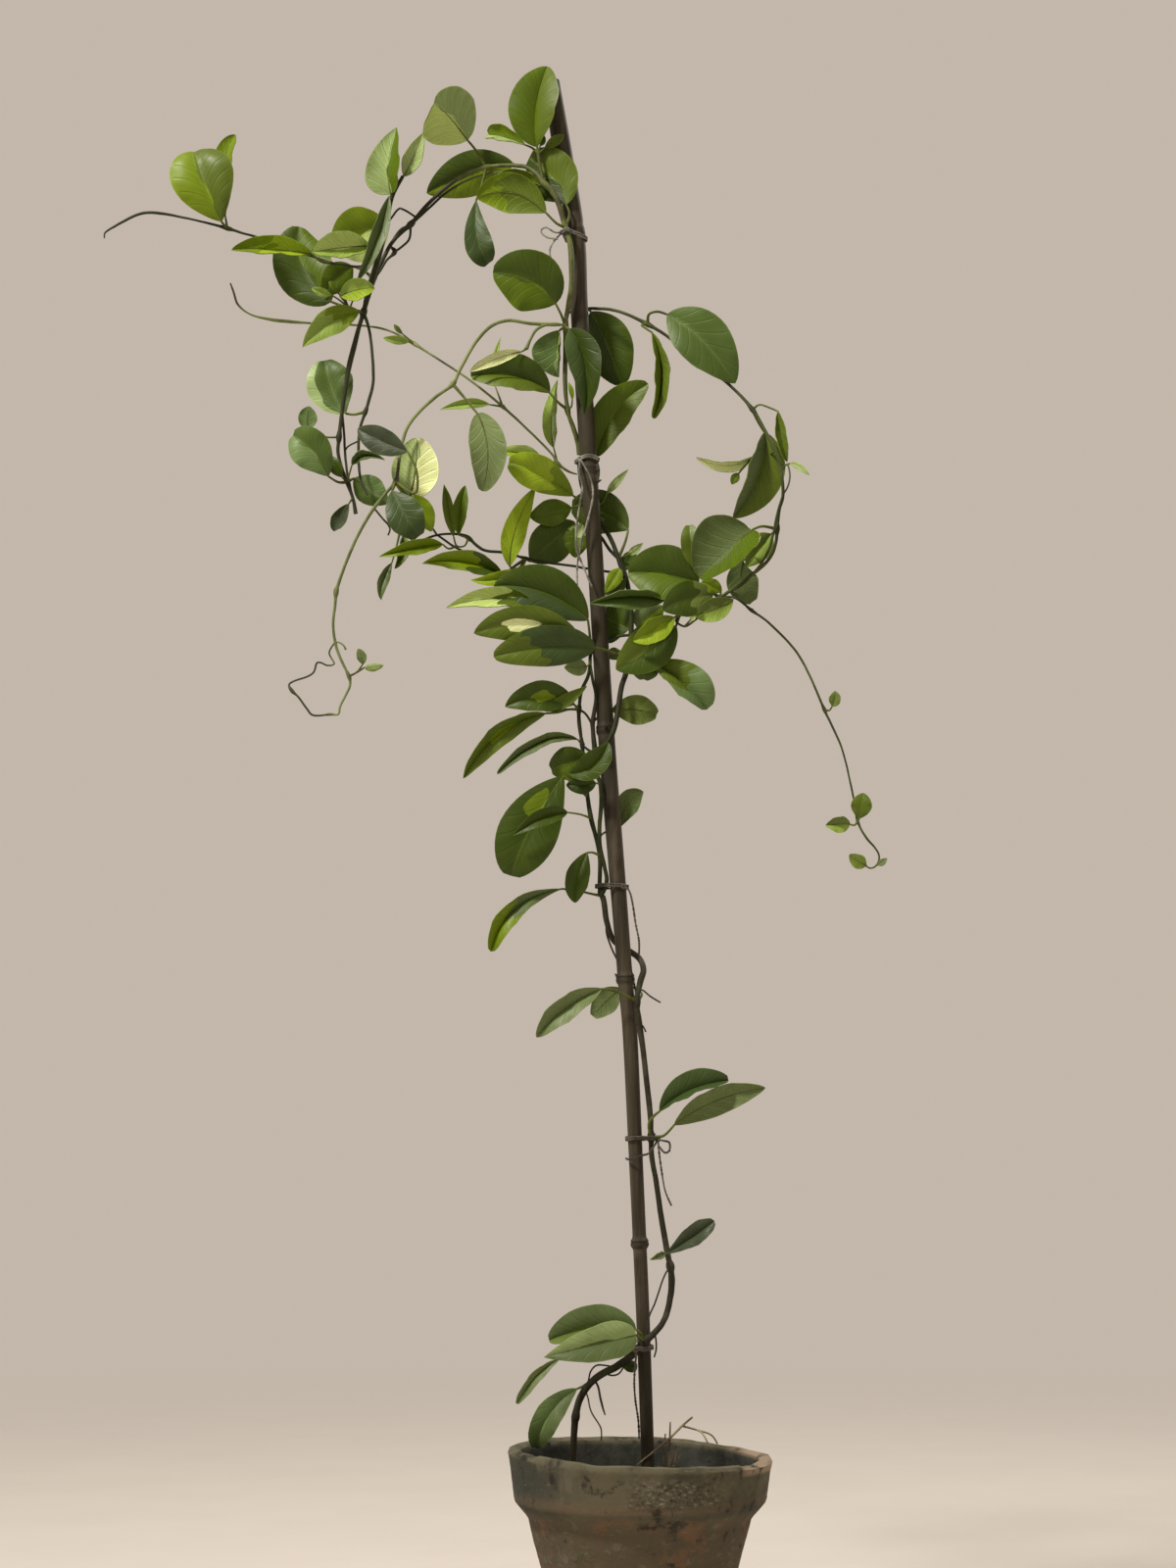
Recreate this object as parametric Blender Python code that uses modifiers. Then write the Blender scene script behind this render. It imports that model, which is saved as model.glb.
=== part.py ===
"""A golden trumpet vine in an old clay pot, tied to a bamboo stake. Metres, +Z up, and the
origin on the ground under the middle of the pot. Stems and leaves are placed where the picture
shows them: a row gives a place in the picture and its depth, and spot() turns it into a point."""

import math
import random

import bmesh
import bpy
from mathutils import Vector

MM = 0.001
GAP = 0.0003
# Extra reach for the flats of few-sided tubes that pass round one another
CHORD_ROOM = 1.02

# The picture's view: its middle, its focal length in its own pixels, the eye and the upward tilt
PICTURE_MIDDLE = (600, 800)
FOCAL_PIXELS = 2311
EYE = Vector((-0.0394, -1.7961, 0.3821))
TILT = math.radians(10)

# Pot: an 8 inch hand-thrown clay pot
POT_HEIGHT = 0.180
RIM_RADIUS = 0.1015
COLLAR_FOOT_RADIUS = 0.0962
COLLAR_HEIGHT = 0.034
COLLAR_CHAMFER = 0.014
BODY_TOP_RADIUS = 0.0845
BASE_RADIUS = 0.0520
RIM_WALL = 0.0110
BODY_WALL = 0.0080
FLOOR_THICKNESS = 0.0100
DRAIN_RADIUS = 0.0045
DRAIN_CIRCLE = 0.0300
DRAIN_HOLES = 3
POT_STEPS = 32
RIM_SLOPE = 0.036
LIP = 0.003
# The inner wall widens behind the collar between these depths under the rim
INNER_STEP_FOOT = 0.030
INNER_STEP_TOP = 0.022
# Chips in the rim: bearing, height of the chip's middle, and half sizes
RIM_CHIPS = (
    (-168, 0.1885, (0.012, 0.016, 0.0065)),
    (-146, 0.1850, (0.007, 0.009, 0.0040)),
    (-30, 0.1800, (0.010, 0.026, 0.0060)),
    (8, 0.1820, (0.010, 0.016, 0.0050)),
    (64, 0.1850, (0.006, 0.012, 0.0045)),
    (-80, 0.1845, (0.005, 0.008, 0.0040)),
    (150, 0.1870, (0.006, 0.010, 0.0040)),
)

# Soil: its top lies well under the rim, and stems and stake stand in plain holes
SOIL_TOP = 0.145
SOIL_MOUND = 0.004
SOIL_LUMPS = 0.0016
HOLE_CLEARANCE = 0.0004
# A hole of eight or of six sides is this much wider, so that its flats clear what stands in it
OVER_EIGHT = 1.085
OVER_SIX = 1.16
STAKE_DEPTH = 0.100
SOIL_CLEARANCE = 0.0005

# Blades: half thickness at the rib, from which they thin to the edge, and how far the edge waves
RIB_HALF = 0.00055
WAVE = 0.0009
WAVES_PER_BLADE = 2.5
PETIOLE_RADIUS = 0.0009
# The tip hooks and its edge runs ahead from this part of the length, and less on a narrow blade
TIP_START = 0.7
FULL_WIDTH = 30
LEAST_SHARE = 0.02

# A stem no thicker than this radius anywhere has four sides in place of six
SLENDER = 0.0024
THINNEST = 0.0006

# Stations along a blade, from its base to its tip, for a full leaf and a small one
FULL_STATIONS = (0.0, 0.15, 0.44, 0.71, 0.92, 1.0)
SMALL_STATIONS = (0.0, 0.4, 0.8, 1.0)
SMALL_WIDTH = 18
# A blade of few sides is drawn this much wider, so that its area is that of the rounded one
ROUNDING = 1.05

# An outline: where the blade is widest, how full its base half and its tip half are (less is
# fuller), how far the edge runs ahead of the rib near the tip, and how far the tip hooks back
OUTLINES = {
    "oval": (0.50, 0.75, 0.68, 0.0, 0.003),
    "blunt": (0.58, 0.80, 0.50, 0.004, 0.006),
    "long": (0.42, 0.80, 0.88, 0.0, 0.002),
    "round": (0.45, 0.55, 0.55, 0.002, 0.002),
    "spoon": (0.68, 0.95, 0.45, 0.003, 0.005),
    "egg": (0.28, 0.45, 0.90, 0.0, 0.002),
}

# The stake's middle line in the picture, foot to top: x, y and thickness
STAKE_LINE = (
    (661.3, 1500, 13.4), (658, 1400, 13.6), (655, 1320, 14.0), (649.5, 1200, 14.2),
    (643.2, 1060, 15.0), (638, 998, 15.4), (628, 870, 16.8), (618, 742, 17.0),
    (608, 580, 16.4), (602.4, 500, 16.8), (597.6, 424, 17.6), (590.8, 309, 18.2),
    (587.5, 240, 18.6), (573.2, 150, 19.0), (562.2, 84, 17.8),
)
# Heights of the bamboo's joints, as rows of the picture
STAKE_JOINTS = (1268, 998, 744, 480, 237)
JOINT_SWELL = 1.20

# Routes of stems: x, y, depth in millimetres and thickness in pixels. The first of each node is
# its trunk, and each other starts at a point of one before it.
LOWER_ROUTES = (
    (
        (585, 1586, 8, 6.0), (585, 1540, 8, 6.6), (585, 1505, 8, 6.6), (585.5, 1470, 8, 6.8),
        (586.5, 1453, 7, 7.2), (587.3, 1446, 6, 9.0),
        (588.5, 1438, 5, 7.2), (591.5, 1428, 3, 7.2), (597, 1418, 0, 7.4), (606, 1408, -4, 7.4),
        (616, 1401, -6, 7.6), (628, 1395, -9, 7.8), (641, 1386, -12, 8.0), (651, 1377, -14, 8.0),
        (659, 1368, -14, 8.0), (668, 1360, -13, 6.8), (676, 1350, -11, 6.2), (681, 1338, -8, 6.2),
        (684.5, 1320, -5, 6.4), (685.4, 1305, -4, 7.0), (684, 1292, -4, 9.0),
        (681, 1278, -4, 6.2), (674.4, 1240, -3, 5.8), (669.4, 1205, -3, 5.4), (665, 1180, -3, 5.4),
        (664.4, 1160, -4, 8.4), (663.6, 1138, -5, 5.8), (659.4, 1100, -6, 5.8), (656, 1070, -7, 5.8),
        (652.4, 1045, -9, 6.4), (649.8, 1022, -10, 8.4), (653, 1003, -7, 6.6), (656.6, 990, 0, 6.2),
        (653, 979, 7, 6.2), (644.6, 972, 12, 6.2), (634, 966, 13, 6.0), (625, 958, 9, 5.8),
        (619, 940, 2, 5.8), (617, 925, -2, 6.0), (616, 918, -3, 7.0),
    ),
    ((684, 1292, -4, 2.0), (677, 1304, -8, 1.8), (669, 1328, -10, 1.8), (662, 1345, -12, 1.8),
     (659, 1368, -14, 1.8)),
    ((606, 1408, -4, 2.4), (610, 1414, -6, 2.2), (613, 1428, -8, 2.4), (615.5, 1438, -8, 2.0),
     (617.5, 1444, -8, 1.4)),
    ((597, 1418, 0, 1.8), (600, 1427, -2, 1.6), (603.5, 1441, -3, 1.6), (613, 1457, -4, 1.6),
     (613.5, 1470, -4, 1.6)),
    ((597, 1418, 0, 1.8), (600.4, 1409, 2, 1.8), (602.4, 1400, 3, 1.8), (608, 1393.5, 2, 1.8),
     (616, 1393, -3, 1.8), (628, 1395, -9, 1.8)),
    ((616, 1401, -6, 1.8), (624, 1403.5, -8, 1.8), (631, 1402, -10, 1.8), (635, 1397, -11, 1.8),
     (641, 1386, -12, 1.8)),
    ((668, 1360, -13, 2.0), (669.5, 1369, -9, 1.8), (669.5, 1377, -7, 1.8), (667.5, 1385, -6, 1.6)),
    ((619, 940, 2, 2.0), (619, 952, 6, 2.0), (624, 967, 10, 2.0), (631, 981, 13, 2.0),
     (641, 992, 12, 2.0), (647, 1003, 5, 2.0), (649.8, 1022, -10, 2.0)),
    ((649.8, 1022, -10, 1.8), (654, 1010, -12, 1.8), (664, 1017, -14, 1.8), (674, 1023, -15, 1.8)),
    ((652.4, 1045, -9, 1.8), (656, 1047, -10, 1.8), (659, 1053, -11, 1.8)),
)
MIDDLE_ROUTES = (
    (
        (613, 914, -4, 6.6), (612, 900, -4, 4.4), (612, 873, -4, 4.6), (607, 850, -4, 4.4),
        (603, 835, -5, 5.2), (599.6, 813, -5, 4.2), (597.4, 790, -5, 4.2), (594, 760, -5, 5.4),
        (591, 738, -5, 4.2), (591, 724, -5, 5.4), (593, 706, -5, 3.8), (600, 690, -5, 3.6),
        (602, 677, -3, 3.6), (603, 667, 4, 3.6), (611, 660, 12, 3.6), (621, 653, 11, 3.2),
        (633, 649, 4, 3.0), (644, 648, 0, 3.4),
    ),
    (
        (613, 914, -4, 6.0), (619, 900, -5, 4.4), (617, 885, -5, 4.2), (612, 862, -5, 4.4),
        (612, 840, -6, 4.4), (613.6, 820, -7, 4.6), (612.6, 800, -8, 4.6), (607, 785, -8, 4.8),
        (607, 768, -8, 5.6), (605, 745, -6, 4.6), (605, 735, -6, 5.0), (608, 712, -6, 3.4),
        (604.6, 693, -6, 3.2), (602, 677, -3, 3.0),
    ),
    (
        (607, 768, -8, 5.4), (613, 765, -13, 5.4), (621, 756, -14, 5.4), (627, 742, -12, 5.6),
        (631, 722, -6, 5.6), (634, 702, -3, 5.6), (639, 686, -2, 5.6), (643, 666, 0, 5.6),
        (644, 648, 0, 5.6), (644, 622, 0, 5.4), (641, 600, 0, 5.2), (637, 586, 0, 6.4),
        (631, 570, 2, 5.0), (626, 556, 5, 4.8), (620, 544, 8, 4.8), (611, 530, 13, 4.8),
        (600.5, 513, 14, 4.8), (594.4, 498, 10, 4.8), (592, 484, 7, 4.8), (591, 468, 6, 5.0),
    ),
    ((631, 570, 2, 3.6), (622, 561, 6, 3.4), (614, 549, 11, 3.4), (603, 536, 14, 3.4),
     (600.5, 513, 14, 3.4)),
    ((591, 724, -5, 2.4), (597, 728, -6, 2.4), (603, 737, -7, 2.4), (605, 745, -6, 2.4)),
    ((594, 760, -5, 2.4), (600, 765, -7, 2.4), (607, 768, -8, 2.4)),
    (
        (637, 586, 0, 2.8), (627, 584, 7, 2.6), (618, 583, 12, 2.6), (608, 581, 13, 2.6),
        (597, 580, 12, 2.6), (587, 578, 6, 2.6), (565, 575, 0, 2.6), (550, 573, -1, 2.8),
        (537, 570, 0, 4.4), (515, 564, 1, 3.0), (496, 562, 2, 3.0), (487, 557, 2, 3.2),
        (478, 549, 2, 5.0), (468, 545, 2, 2.6), (446, 546, 2, 2.4), (428, 552, 2, 3.0),
        (418, 549, 1, 2.4), (408, 543, 1, 2.6), (395, 534, 1, 2.2), (383, 520, 0, 2.0),
    ),
    ((395, 534, 1, 1.8), (398, 540, 0, 1.8), (396, 546, -1, 1.8)),
    ((446, 546, 2, 2.2), (455, 552, 6, 2.4), (463, 557.5, 9, 2.4), (479, 566, 12, 2.4)),
    ((446, 546, 2, 2.2), (442, 540, 4, 2.4)),
)
CROWN_ROUTES = (
    (
        (591, 464, 6, 5.0), (590, 452, 5, 5.0), (584.4, 435, 0, 5.0), (579, 418, -3, 6.4),
        (576.6, 390, -5, 4.8), (577, 360, -7, 5.0), (577, 333, -9, 7.0), (580, 312, -12, 5.4),
        (583, 290, -14, 5.4), (583, 262, -15, 5.4), (581, 245, -15, 5.6), (577, 232, -15, 5.6),
        (570, 208, -15, 5.6), (563, 195, -14, 5.6), (555, 187, -13, 7.0), (548, 178, -11, 4.8),
        (538, 171, -7, 4.4), (527, 169, -1, 4.2), (510, 169, 5, 4.2), (496, 171, 8, 6.4),
        (477, 177, 12, 4.0), (457, 190, 15, 4.0), (437, 208, 18, 4.0), (425, 222, 20, 4.4),
        (419, 229, 20, 7.0), (402, 245, 18, 4.0), (392, 262, 16, 4.2), (382, 284, 12, 5.0),
        (375, 303, 10, 6.0), (371, 319, 10, 7.6), (366, 335, 10, 4.6), (361, 355, 10, 5.6),
        (356, 375, 10, 5.4), (353, 395, 11, 4.2), (349, 421, 12, 4.0), (346, 446, 12, 6.4),
        (345, 462, 12, 3.6), (349, 478, 12, 3.6), (354, 492, 12, 4.2), (360, 508, 12, 3.4),
        (363, 524, 12, 4.4),
    ),
    (
        (548, 178, -11, 2.8), (534, 176, -4, 2.6), (515, 175, 6, 2.6), (497, 178, 11, 2.8),
        (477, 184, 15, 2.6), (455, 197, 19, 2.6), (437, 213, 21, 2.6), (419, 229, 20, 2.8),
        (408, 235, 23, 2.4), (399, 250, 22, 2.4), (403, 257, 20, 5.0), (395, 265, 15, 2.6),
        (388, 276, 13, 2.6), (382, 284, 12, 2.6),
    ),
    ((419, 229, 20, 2.6), (417, 245, 24, 2.4), (403, 257, 20, 2.4)),
    ((425, 222, 20, 2.2), (412, 214, 14, 2.2), (406, 214, 8, 2.2), (397, 226, 2, 2.2),
     (394, 231, 0, 2.2)),
    (
        (371, 319, 10, 4.0), (376, 333, 9, 3.2), (379, 352, 8, 3.2), (381, 380, 8, 3.2),
        (380, 395, 8, 3.2), (376, 410, 8, 3.4), (373, 420, 8, 5.0), (368, 435, 8, 3.0),
        (366, 450, 8, 3.0), (366, 470, 8, 3.0), (368, 488, 7, 2.8), (375, 505, 5, 2.8),
    ),
    (
        (349, 421, 12, 3.0), (351, 440, 15, 2.6), (352, 460, 17, 2.6), (354, 480, 16, 2.6),
        (358, 500, 14, 2.6), (363, 524, 12, 2.6),
    ),
    ((352, 460, 17, 1.8), (356, 455, 15, 1.8), (366, 450, 8, 1.8)),
    (
        (375, 303, 10, 6.6), (380, 284, 6, 6.4), (388, 256, 2, 5.6), (394, 231, 0, 5.0),
        (400, 201, -2, 4.4), (411, 180, -4, 3.6),
    ),
    (
        (388, 256, 2, 2.2), (371, 271, 2, 2.2), (350, 270, 0, 2.2), (337, 268, -3, 3.2),
        (317, 261, -8, 2.4), (292, 252, -14, 2.4), (266, 243, -20, 2.4), (248, 238, -24, 2.4),
        (232, 233, -27, 5.0), (205, 226, -30, 2.2), (182, 221, -33, 2.4), (166, 218, -35, 3.0),
        (150, 217, -36, 3.0), (138, 220, -37, 2.8), (124, 227, -38, 2.6), (112, 234, -39, 2.2),
        (107, 238, -40, 1.8), (106.5, 243, -40, 1.4),
    ),
    ((555, 187, -13, 3.6), (551, 170, -13, 3.4), (549.5, 157, -14, 3.8)),
    ((371, 319, 10, 4.0), (357, 315, 4, 3.4), (353, 307, 0, 1.8), (351, 299, -3, 1.6)),
    ((357, 315, 4, 1.8), (360, 306, 1, 1.6), (360, 299, -2, 1.6)),
)
PALE_ROUTES = (
    (
        (574.2, 332, -11.8, 1.6), (568, 331, -16, 4.2), (560, 331, -19, 4.2), (540, 330, -22, 3.6),
        (519, 327, -25, 3.6), (501, 333, -27, 3.6), (485, 350, -29, 3.4), (470, 376, -31, 3.4),
        (462, 392, -32, 5.6), (446, 404, -33, 3.4), (430, 418, -35, 3.4), (417, 434, -37, 3.4),
        (411, 450, -38, 3.4), (408, 465, -39, 3.4), (406, 481, -40, 3.4), (404, 491, -40, 5.6),
        (394, 503, -40, 3.4), (382, 518, -41, 3.6), (372, 534, -40, 3.2), (362, 553, -38, 3.2),
        (352, 577, -36, 3.2), (345, 597, -34, 3.4), (343, 604, -34, 5.6), (342, 617, -33, 3.0),
        (340, 635, -32, 2.8), (342, 655, -31, 3.0), (347, 671, -31, 3.0), (356, 690, -32, 4.4),
        (357, 700, -32, 2.6), (352, 711, -32, 2.4), (347, 721, -32, 2.4), (345, 729, -32, 2.0),
        (337, 729, -31, 3.0), (320, 730, -30, 2.2), (313, 723, -29, 2.2), (305, 712, -28, 2.2),
        (298, 705, -27, 4.0), (295, 699, -26, 2.0), (300, 695, -25, 2.0), (312, 691, -24, 2.0),
        (320, 686, -23, 2.0), (323, 677, -22, 2.0), (327, 676, -22, 1.8), (334, 679, -22, 1.8),
        (341, 677, -22, 1.8), (336, 666, -23, 1.8), (342, 655, -31, 1.8),
    ),
    ((560, 331, -19, 3.0), (553, 333, -21, 3.0), (546, 338, -23, 3.0), (541, 347, -24, 2.8),
     (537, 356, -24, 4.4)),
    ((342, 655, -31, 1.8), (347, 656, -34, 1.8), (351, 659, -36, 1.8), (353, 663, -36, 2.4)),
)
THIN_ROUTES = (
    (
        (588.8, 484, 7, 1.4), (580, 481, 4, 2.6), (569, 473, 2, 5.0), (562, 462, 0, 2.4),
        (537, 437, -4, 2.4), (513, 415, -8, 4.4), (485, 392, -10, 2.4), (465, 378, -10, 2.2),
        (440, 362, -4, 2.2), (423, 351, 2, 4.6), (405, 341, 10, 2.2), (392, 336, 17, 2.2),
        (376, 333, 22, 2.2), (350, 331, 23, 2.2), (320, 330, 20, 2.2), (293, 328, 16, 3.6),
        (276, 326, 12, 3.4), (256, 321, 8, 2.0), (243, 311, 4, 2.4), (238, 297, 0, 2.2),
        (235, 289, -2, 1.6),
    ),
)
LOOP_ROUTES = (
    (
        (577.8, 323, -7.7, 1.6), (577, 322, -2, 2.6), (578, 320, 5, 3.0), (583, 318, 11, 3.2),
        (590, 317, 14, 3.2), (600, 315, 12, 3.2),
        (611, 315, 6, 3.2), (623, 316, 0, 3.2), (638, 320, -8, 3.2), (661, 331, -20, 6.0),
        (682, 344, -26, 3.2), (708, 367, -28, 3.2), (733, 384, -32, 3.2), (750, 398, -36, 3.2),
        (768, 418, -42, 6.0), (781, 440, -45, 3.4), (791, 460, -47, 3.4), (797, 481, -48, 3.4),
        (799, 505, -48, 3.4), (795, 520, -47, 3.6), (793, 540, -46, 6.0), (792, 552, -45, 3.4),
        (788, 565, -43, 3.4), (779, 577, -40, 3.4), (762, 590, -34, 3.4), (742, 605, -26, 3.6),
        (734, 610, -23, 5.0), (716, 617, -17, 3.0), (700, 624, -12, 3.0), (693, 628, -10, 4.6),
    ),
    (
        (799, 505, -48, 2.6), (793, 525, -51, 2.6), (789, 545, -50, 2.6), (784, 562, -48, 2.6),
        (774, 579, -45, 2.6), (758, 596, -38, 2.6), (742, 605, -26, 2.6),
    ),
    ((734, 610, -23, 2.4), (722, 622, -21, 2.4), (710, 632, -17, 2.4), (699, 639, -13, 2.4),
     (690, 634, -11, 2.2), (693, 628, -10, 2.4)),
    ((797, 481, -48, 1.8), (803, 474, -53, 1.8), (806, 484, -56, 1.8), (804, 496, -55, 1.8),
     (799, 505, -48, 1.8)),
    (
        (734, 610, -23, 3.0), (750, 610, -28, 2.4), (767, 623, -33, 4.0), (785, 636, -38, 2.4),
        (811, 663, -44, 2.4), (826, 689, -48, 2.4), (841, 724, -52, 4.2), (856, 756, -55, 2.2),
        (863, 778, -56, 2.0), (871, 815, -57, 2.0), (875, 838, -57, 3.4), (884, 855, -56, 2.4),
        (892, 864, -54, 2.0), (897, 873, -52, 1.8), (895, 882, -50, 1.8), (888, 886, -49, 1.6),
        (880, 881, -48, 1.4),
    ),
)

# Leaves: petiole points, base, middle of the rib and tip, all as x, y and depth, then the full
# width in pixels, the degrees that the left and right halves turn towards the eye, and the outline
LOWER_LEAVES = (
    (((656, 1368, -14), (654, 1361, -17)), (649, 1357, -18), (604, 1356, -14), (560, 1368, -8), 48,
     60, 10, "round"),
    (((656, 1368, -14), (654, 1366, -21)), (649, 1362, -27), (602, 1373, -38), (555, 1385, -41), 40,
     22, 22, "egg"),
    (((602, 1373, -38),), (571, 1387, -42), (547.5, 1404, -44), (527, 1433, -42), 16, 40, 50,
     "blunt"),
    (((630, 1391, -9),), (633, 1391, -4), (643, 1394, 4), (651, 1396, 10), 12, 10, 10, "oval"),
    (((598, 1413, 0), (594, 1415, -2)), (589, 1417, -4), (561, 1443, -12), (546, 1480, -8), 29, 20,
     20, "blunt"),
    (((664, 1160, -4), (662, 1147, -9), (667, 1139, -11)), (673, 1134, -13), (703, 1113, -22),
     (742, 1103, -30), 38, 10, 75, "blunt"),
    (((664, 1160, -4), (677, 1159, -6)), (688, 1148, -13), (731, 1123, -20), (781, 1110, -24), 30,
     35, 10, "oval"),
    (((682, 1278, -4),), (687, 1276, -8), (707, 1263, -14), (727, 1247, -22), 24, 25, 35, "spoon"),
    (((682, 1278, -4),), (678, 1279, -8), (672, 1282, -16), (664, 1285, -24), 9, 40, 40, "long"),
    (((650, 1022, -10), (641, 1017, -15), (627, 1011, -18)), (611, 1010, -20), (572, 1026, -30),
     (549, 1060, -28), 31, 40, 40, "oval"),
    (((650, 1022, -10), (655, 1014, 0), (645, 1007, 11)), (633, 1008, 15), (617, 1020, 16),
     (606, 1035, 12), 27, 5, 10, "blunt"),
)
MIDDLE_LEAVES = (
    (((612, 873, -4), (605, 870, -7)), (599, 870, -9), (588, 896, -13), (587, 921, -13), 27, 15, 15,
     "oval"),
    (((613, 914, -4), (603, 912, -6), (590, 909, -7)), (574, 906, -9), (527, 929, -20),
     (503, 971, -26), 27, 35, 45, "spoon"),
    (((591, 724, -5),), (586, 719, -8), (553, 712, -14), (516, 721, -18), 30, 30, 15, "oval"),
    (((591, 724, -5), (580, 724, -8), (569, 727, -12)), (557, 728, -14), (511, 751, -22),
     (474, 794, -24), 28, 20, 50, "oval"),
    (((580, 724, -8),), (557, 725, -11), (577, 715, -13), (599, 700, -15), 14, 10, 20, "long"),
    (((594, 760, -5),), (590, 757, -8), (551, 760, -16), (509, 789, -22), 17, 60, 50, "blunt"),
    (((607, 768, -8),), (602, 773, -10), (583, 778, -11), (563, 785, -11), 34, 5, 5, "blunt"),
    (((599.6, 813, -5), (589, 797, -11)), (581, 790, -15), (606, 780, -24), (621, 757, -27), 30, 25,
     30, "oval"),
    (((612.6, 800, -8),), (608, 799, -10), (594, 802, -13), (578, 801, -14), 22, 10, 10, "oval"),
    (((599.6, 813, -5), (587, 801, -12)), (574, 793, -17), (541, 841, -30), (524, 893, -33), 60, 3, 3,
     "oval"),
    (((603, 835, -5), (592, 831, -18)), (579, 829, -29), (553, 835, -41), (523, 853, -45), 22, 40,
     30, "long"),
    (((605, 745, -6), (604, 739, 2), (609, 733, 10), (618, 728, 13)), (627, 725, 12), (650, 724, 6),
     (671, 729, 3), 30, 5, 5, "blunt"),
    (((612, 862, -5), (613, 853, 2), (620, 848, 10)), (630, 844, 11), (639, 819, 9), (655, 808, 6),
     25, 10, 15, "oval"),
    (((537, 570, 0), (522, 580, -4)), (512, 588, -7), (474, 577, -13), (431, 575, -17), 28, 55, 30,
     "long"),
    (((537, 570, 0),), (532, 582, -9), (507, 591, -15), (480, 592, -18), 16, 30, 20, "long"),
    (((603, 667, 4), (601, 657, -8), (575, 640, -18)), (546, 616, -25), (502, 610, -31),
     (456, 619, -34), 24, 50, 15, "long"),
    (((603, 667, 4), (602, 650, -8)), (600, 633, -14), (556, 605, -22), (504, 598, -26), 54, 30, 0,
     "oval"),
    (((603, 667, 4), (598, 655, -12)), (568, 634, -27), (526, 637, -36), (484, 646, -40), 36, 5, 10,
     "oval"),
    (((643, 666, 0), (634, 669, -8), (620, 664, -14)), (605, 661, -19), (556, 661, -32),
     (504, 670, -36), 43, 8, 12, "round"),
    (((602, 677, -3),), (599, 680, -8), (590, 681, -12), (576, 681, -14), 17, 10, 10, "oval"),
    (((600.5, 513, 14), (592, 510, 6)), (585, 506, -2), (553, 485, -15), (519, 472, -20), 42, 15, 20,
     "oval"),
    (((600.5, 513, 14), (592, 516, 8)), (583, 518, 4), (563, 523, 0), (541, 527, -3), 27, 5, 5,
     "oval"),
    (((537, 570, 0),), (541, 573, 3), (562, 554, 7), (587, 532, 9), 42, 3, 6, "oval"),
    (((603, 536, 14), (597, 534, 13)), (594, 535, 11), (589, 550, 9), (587, 568, 8), 27, 5, 5,
     "oval"),
    (((631, 570, 2), (638, 553, 8)), (641, 541, 14), (616, 524, 20), (584, 517, 21), 44, 0, 0,
     "blunt"),
    (((637, 586, 0),), (638, 582, 4), (642, 572, 7), (648, 562, 9), 16, 5, 5, "oval"),
    (((637, 586, 0),), (632, 580, -5), (627, 590, -9), (618, 604, -12), 15, 5, 5, "oval"),
    (((631, 570, 2),), (641, 566, 1), (648, 561, 1), (656, 554, 0), 8, 5, 5, "long"),
    (((644, 648, 0),), (642, 642, 5), (628, 635, 11), (611, 629, 14), 45, 0, 0, "oval"),
    (((644, 648, 0),), (650, 641, 5), (659, 637, 8), (676, 629, 9), 22, 5, 5, "oval"),
    (((643, 666, 0), (634, 666, 4)), (633, 664, 6), (627, 667, 8), (620, 671, 9), 13, 5, 5, "oval"),
    (((643, 666, 0), (652, 671, 1)), (659, 675, 2), (658, 686, 4), (655, 696, 5), 28, 3, 3,
     "blunt"),
    (((643, 666, 0), (652, 671, 1)), (662, 676, 1), (692, 697, -6), (720, 723, -10), 52, 3, 65,
     "spoon"),
    (((600.5, 513, 14), (608, 496, 13), (611, 481, 13)), (609, 467, 14), (629, 422, 11),
     (661, 392, 0), 42, 5, 35, "round"),
    (((600.5, 513, 14), (614, 514, 14)), (618, 504, 12), (627, 491, 10), (641, 479, 8), 9, 10, 10,
     "long"),
    (((537, 570, 0), (529, 580, -3)), (519, 578, -7), (521.5, 538, -13), (546, 497, -10), 28, 10, 25,
     "long"),
    (((478, 549, 2), (474, 557, -3), (466, 557, -4)), (463, 548, -3), (458, 520, -3),
     (453, 494, -4), 12, 20, 30, "long"),
    (((478, 549, 2),), (468, 546, -1), (469.5, 521, -4), (475, 495, -6), 20, 30, 35, "oval"),
    (((466, 557, -4), (458, 560, -5)), (449, 554.5, -6), (422, 558.5, -12), (387, 568, -15), 20, 55, 38,
     "long"),
    (((408, 543, 1),), (411, 546, -1), (411, 562, -4), (403, 580, -6), 16, 30, 60, "oval"),
    (((408, 543, 1), (404, 560, -2)), (400, 574, -4), (391, 595, -7), (390, 612, -9), 12, 20, 40,
     "long"),
    (((637, 586, 0),), (638, 592, -3), (629, 600, -6), (618, 606, -9), 15, 5, 5, "oval"),
)
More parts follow.
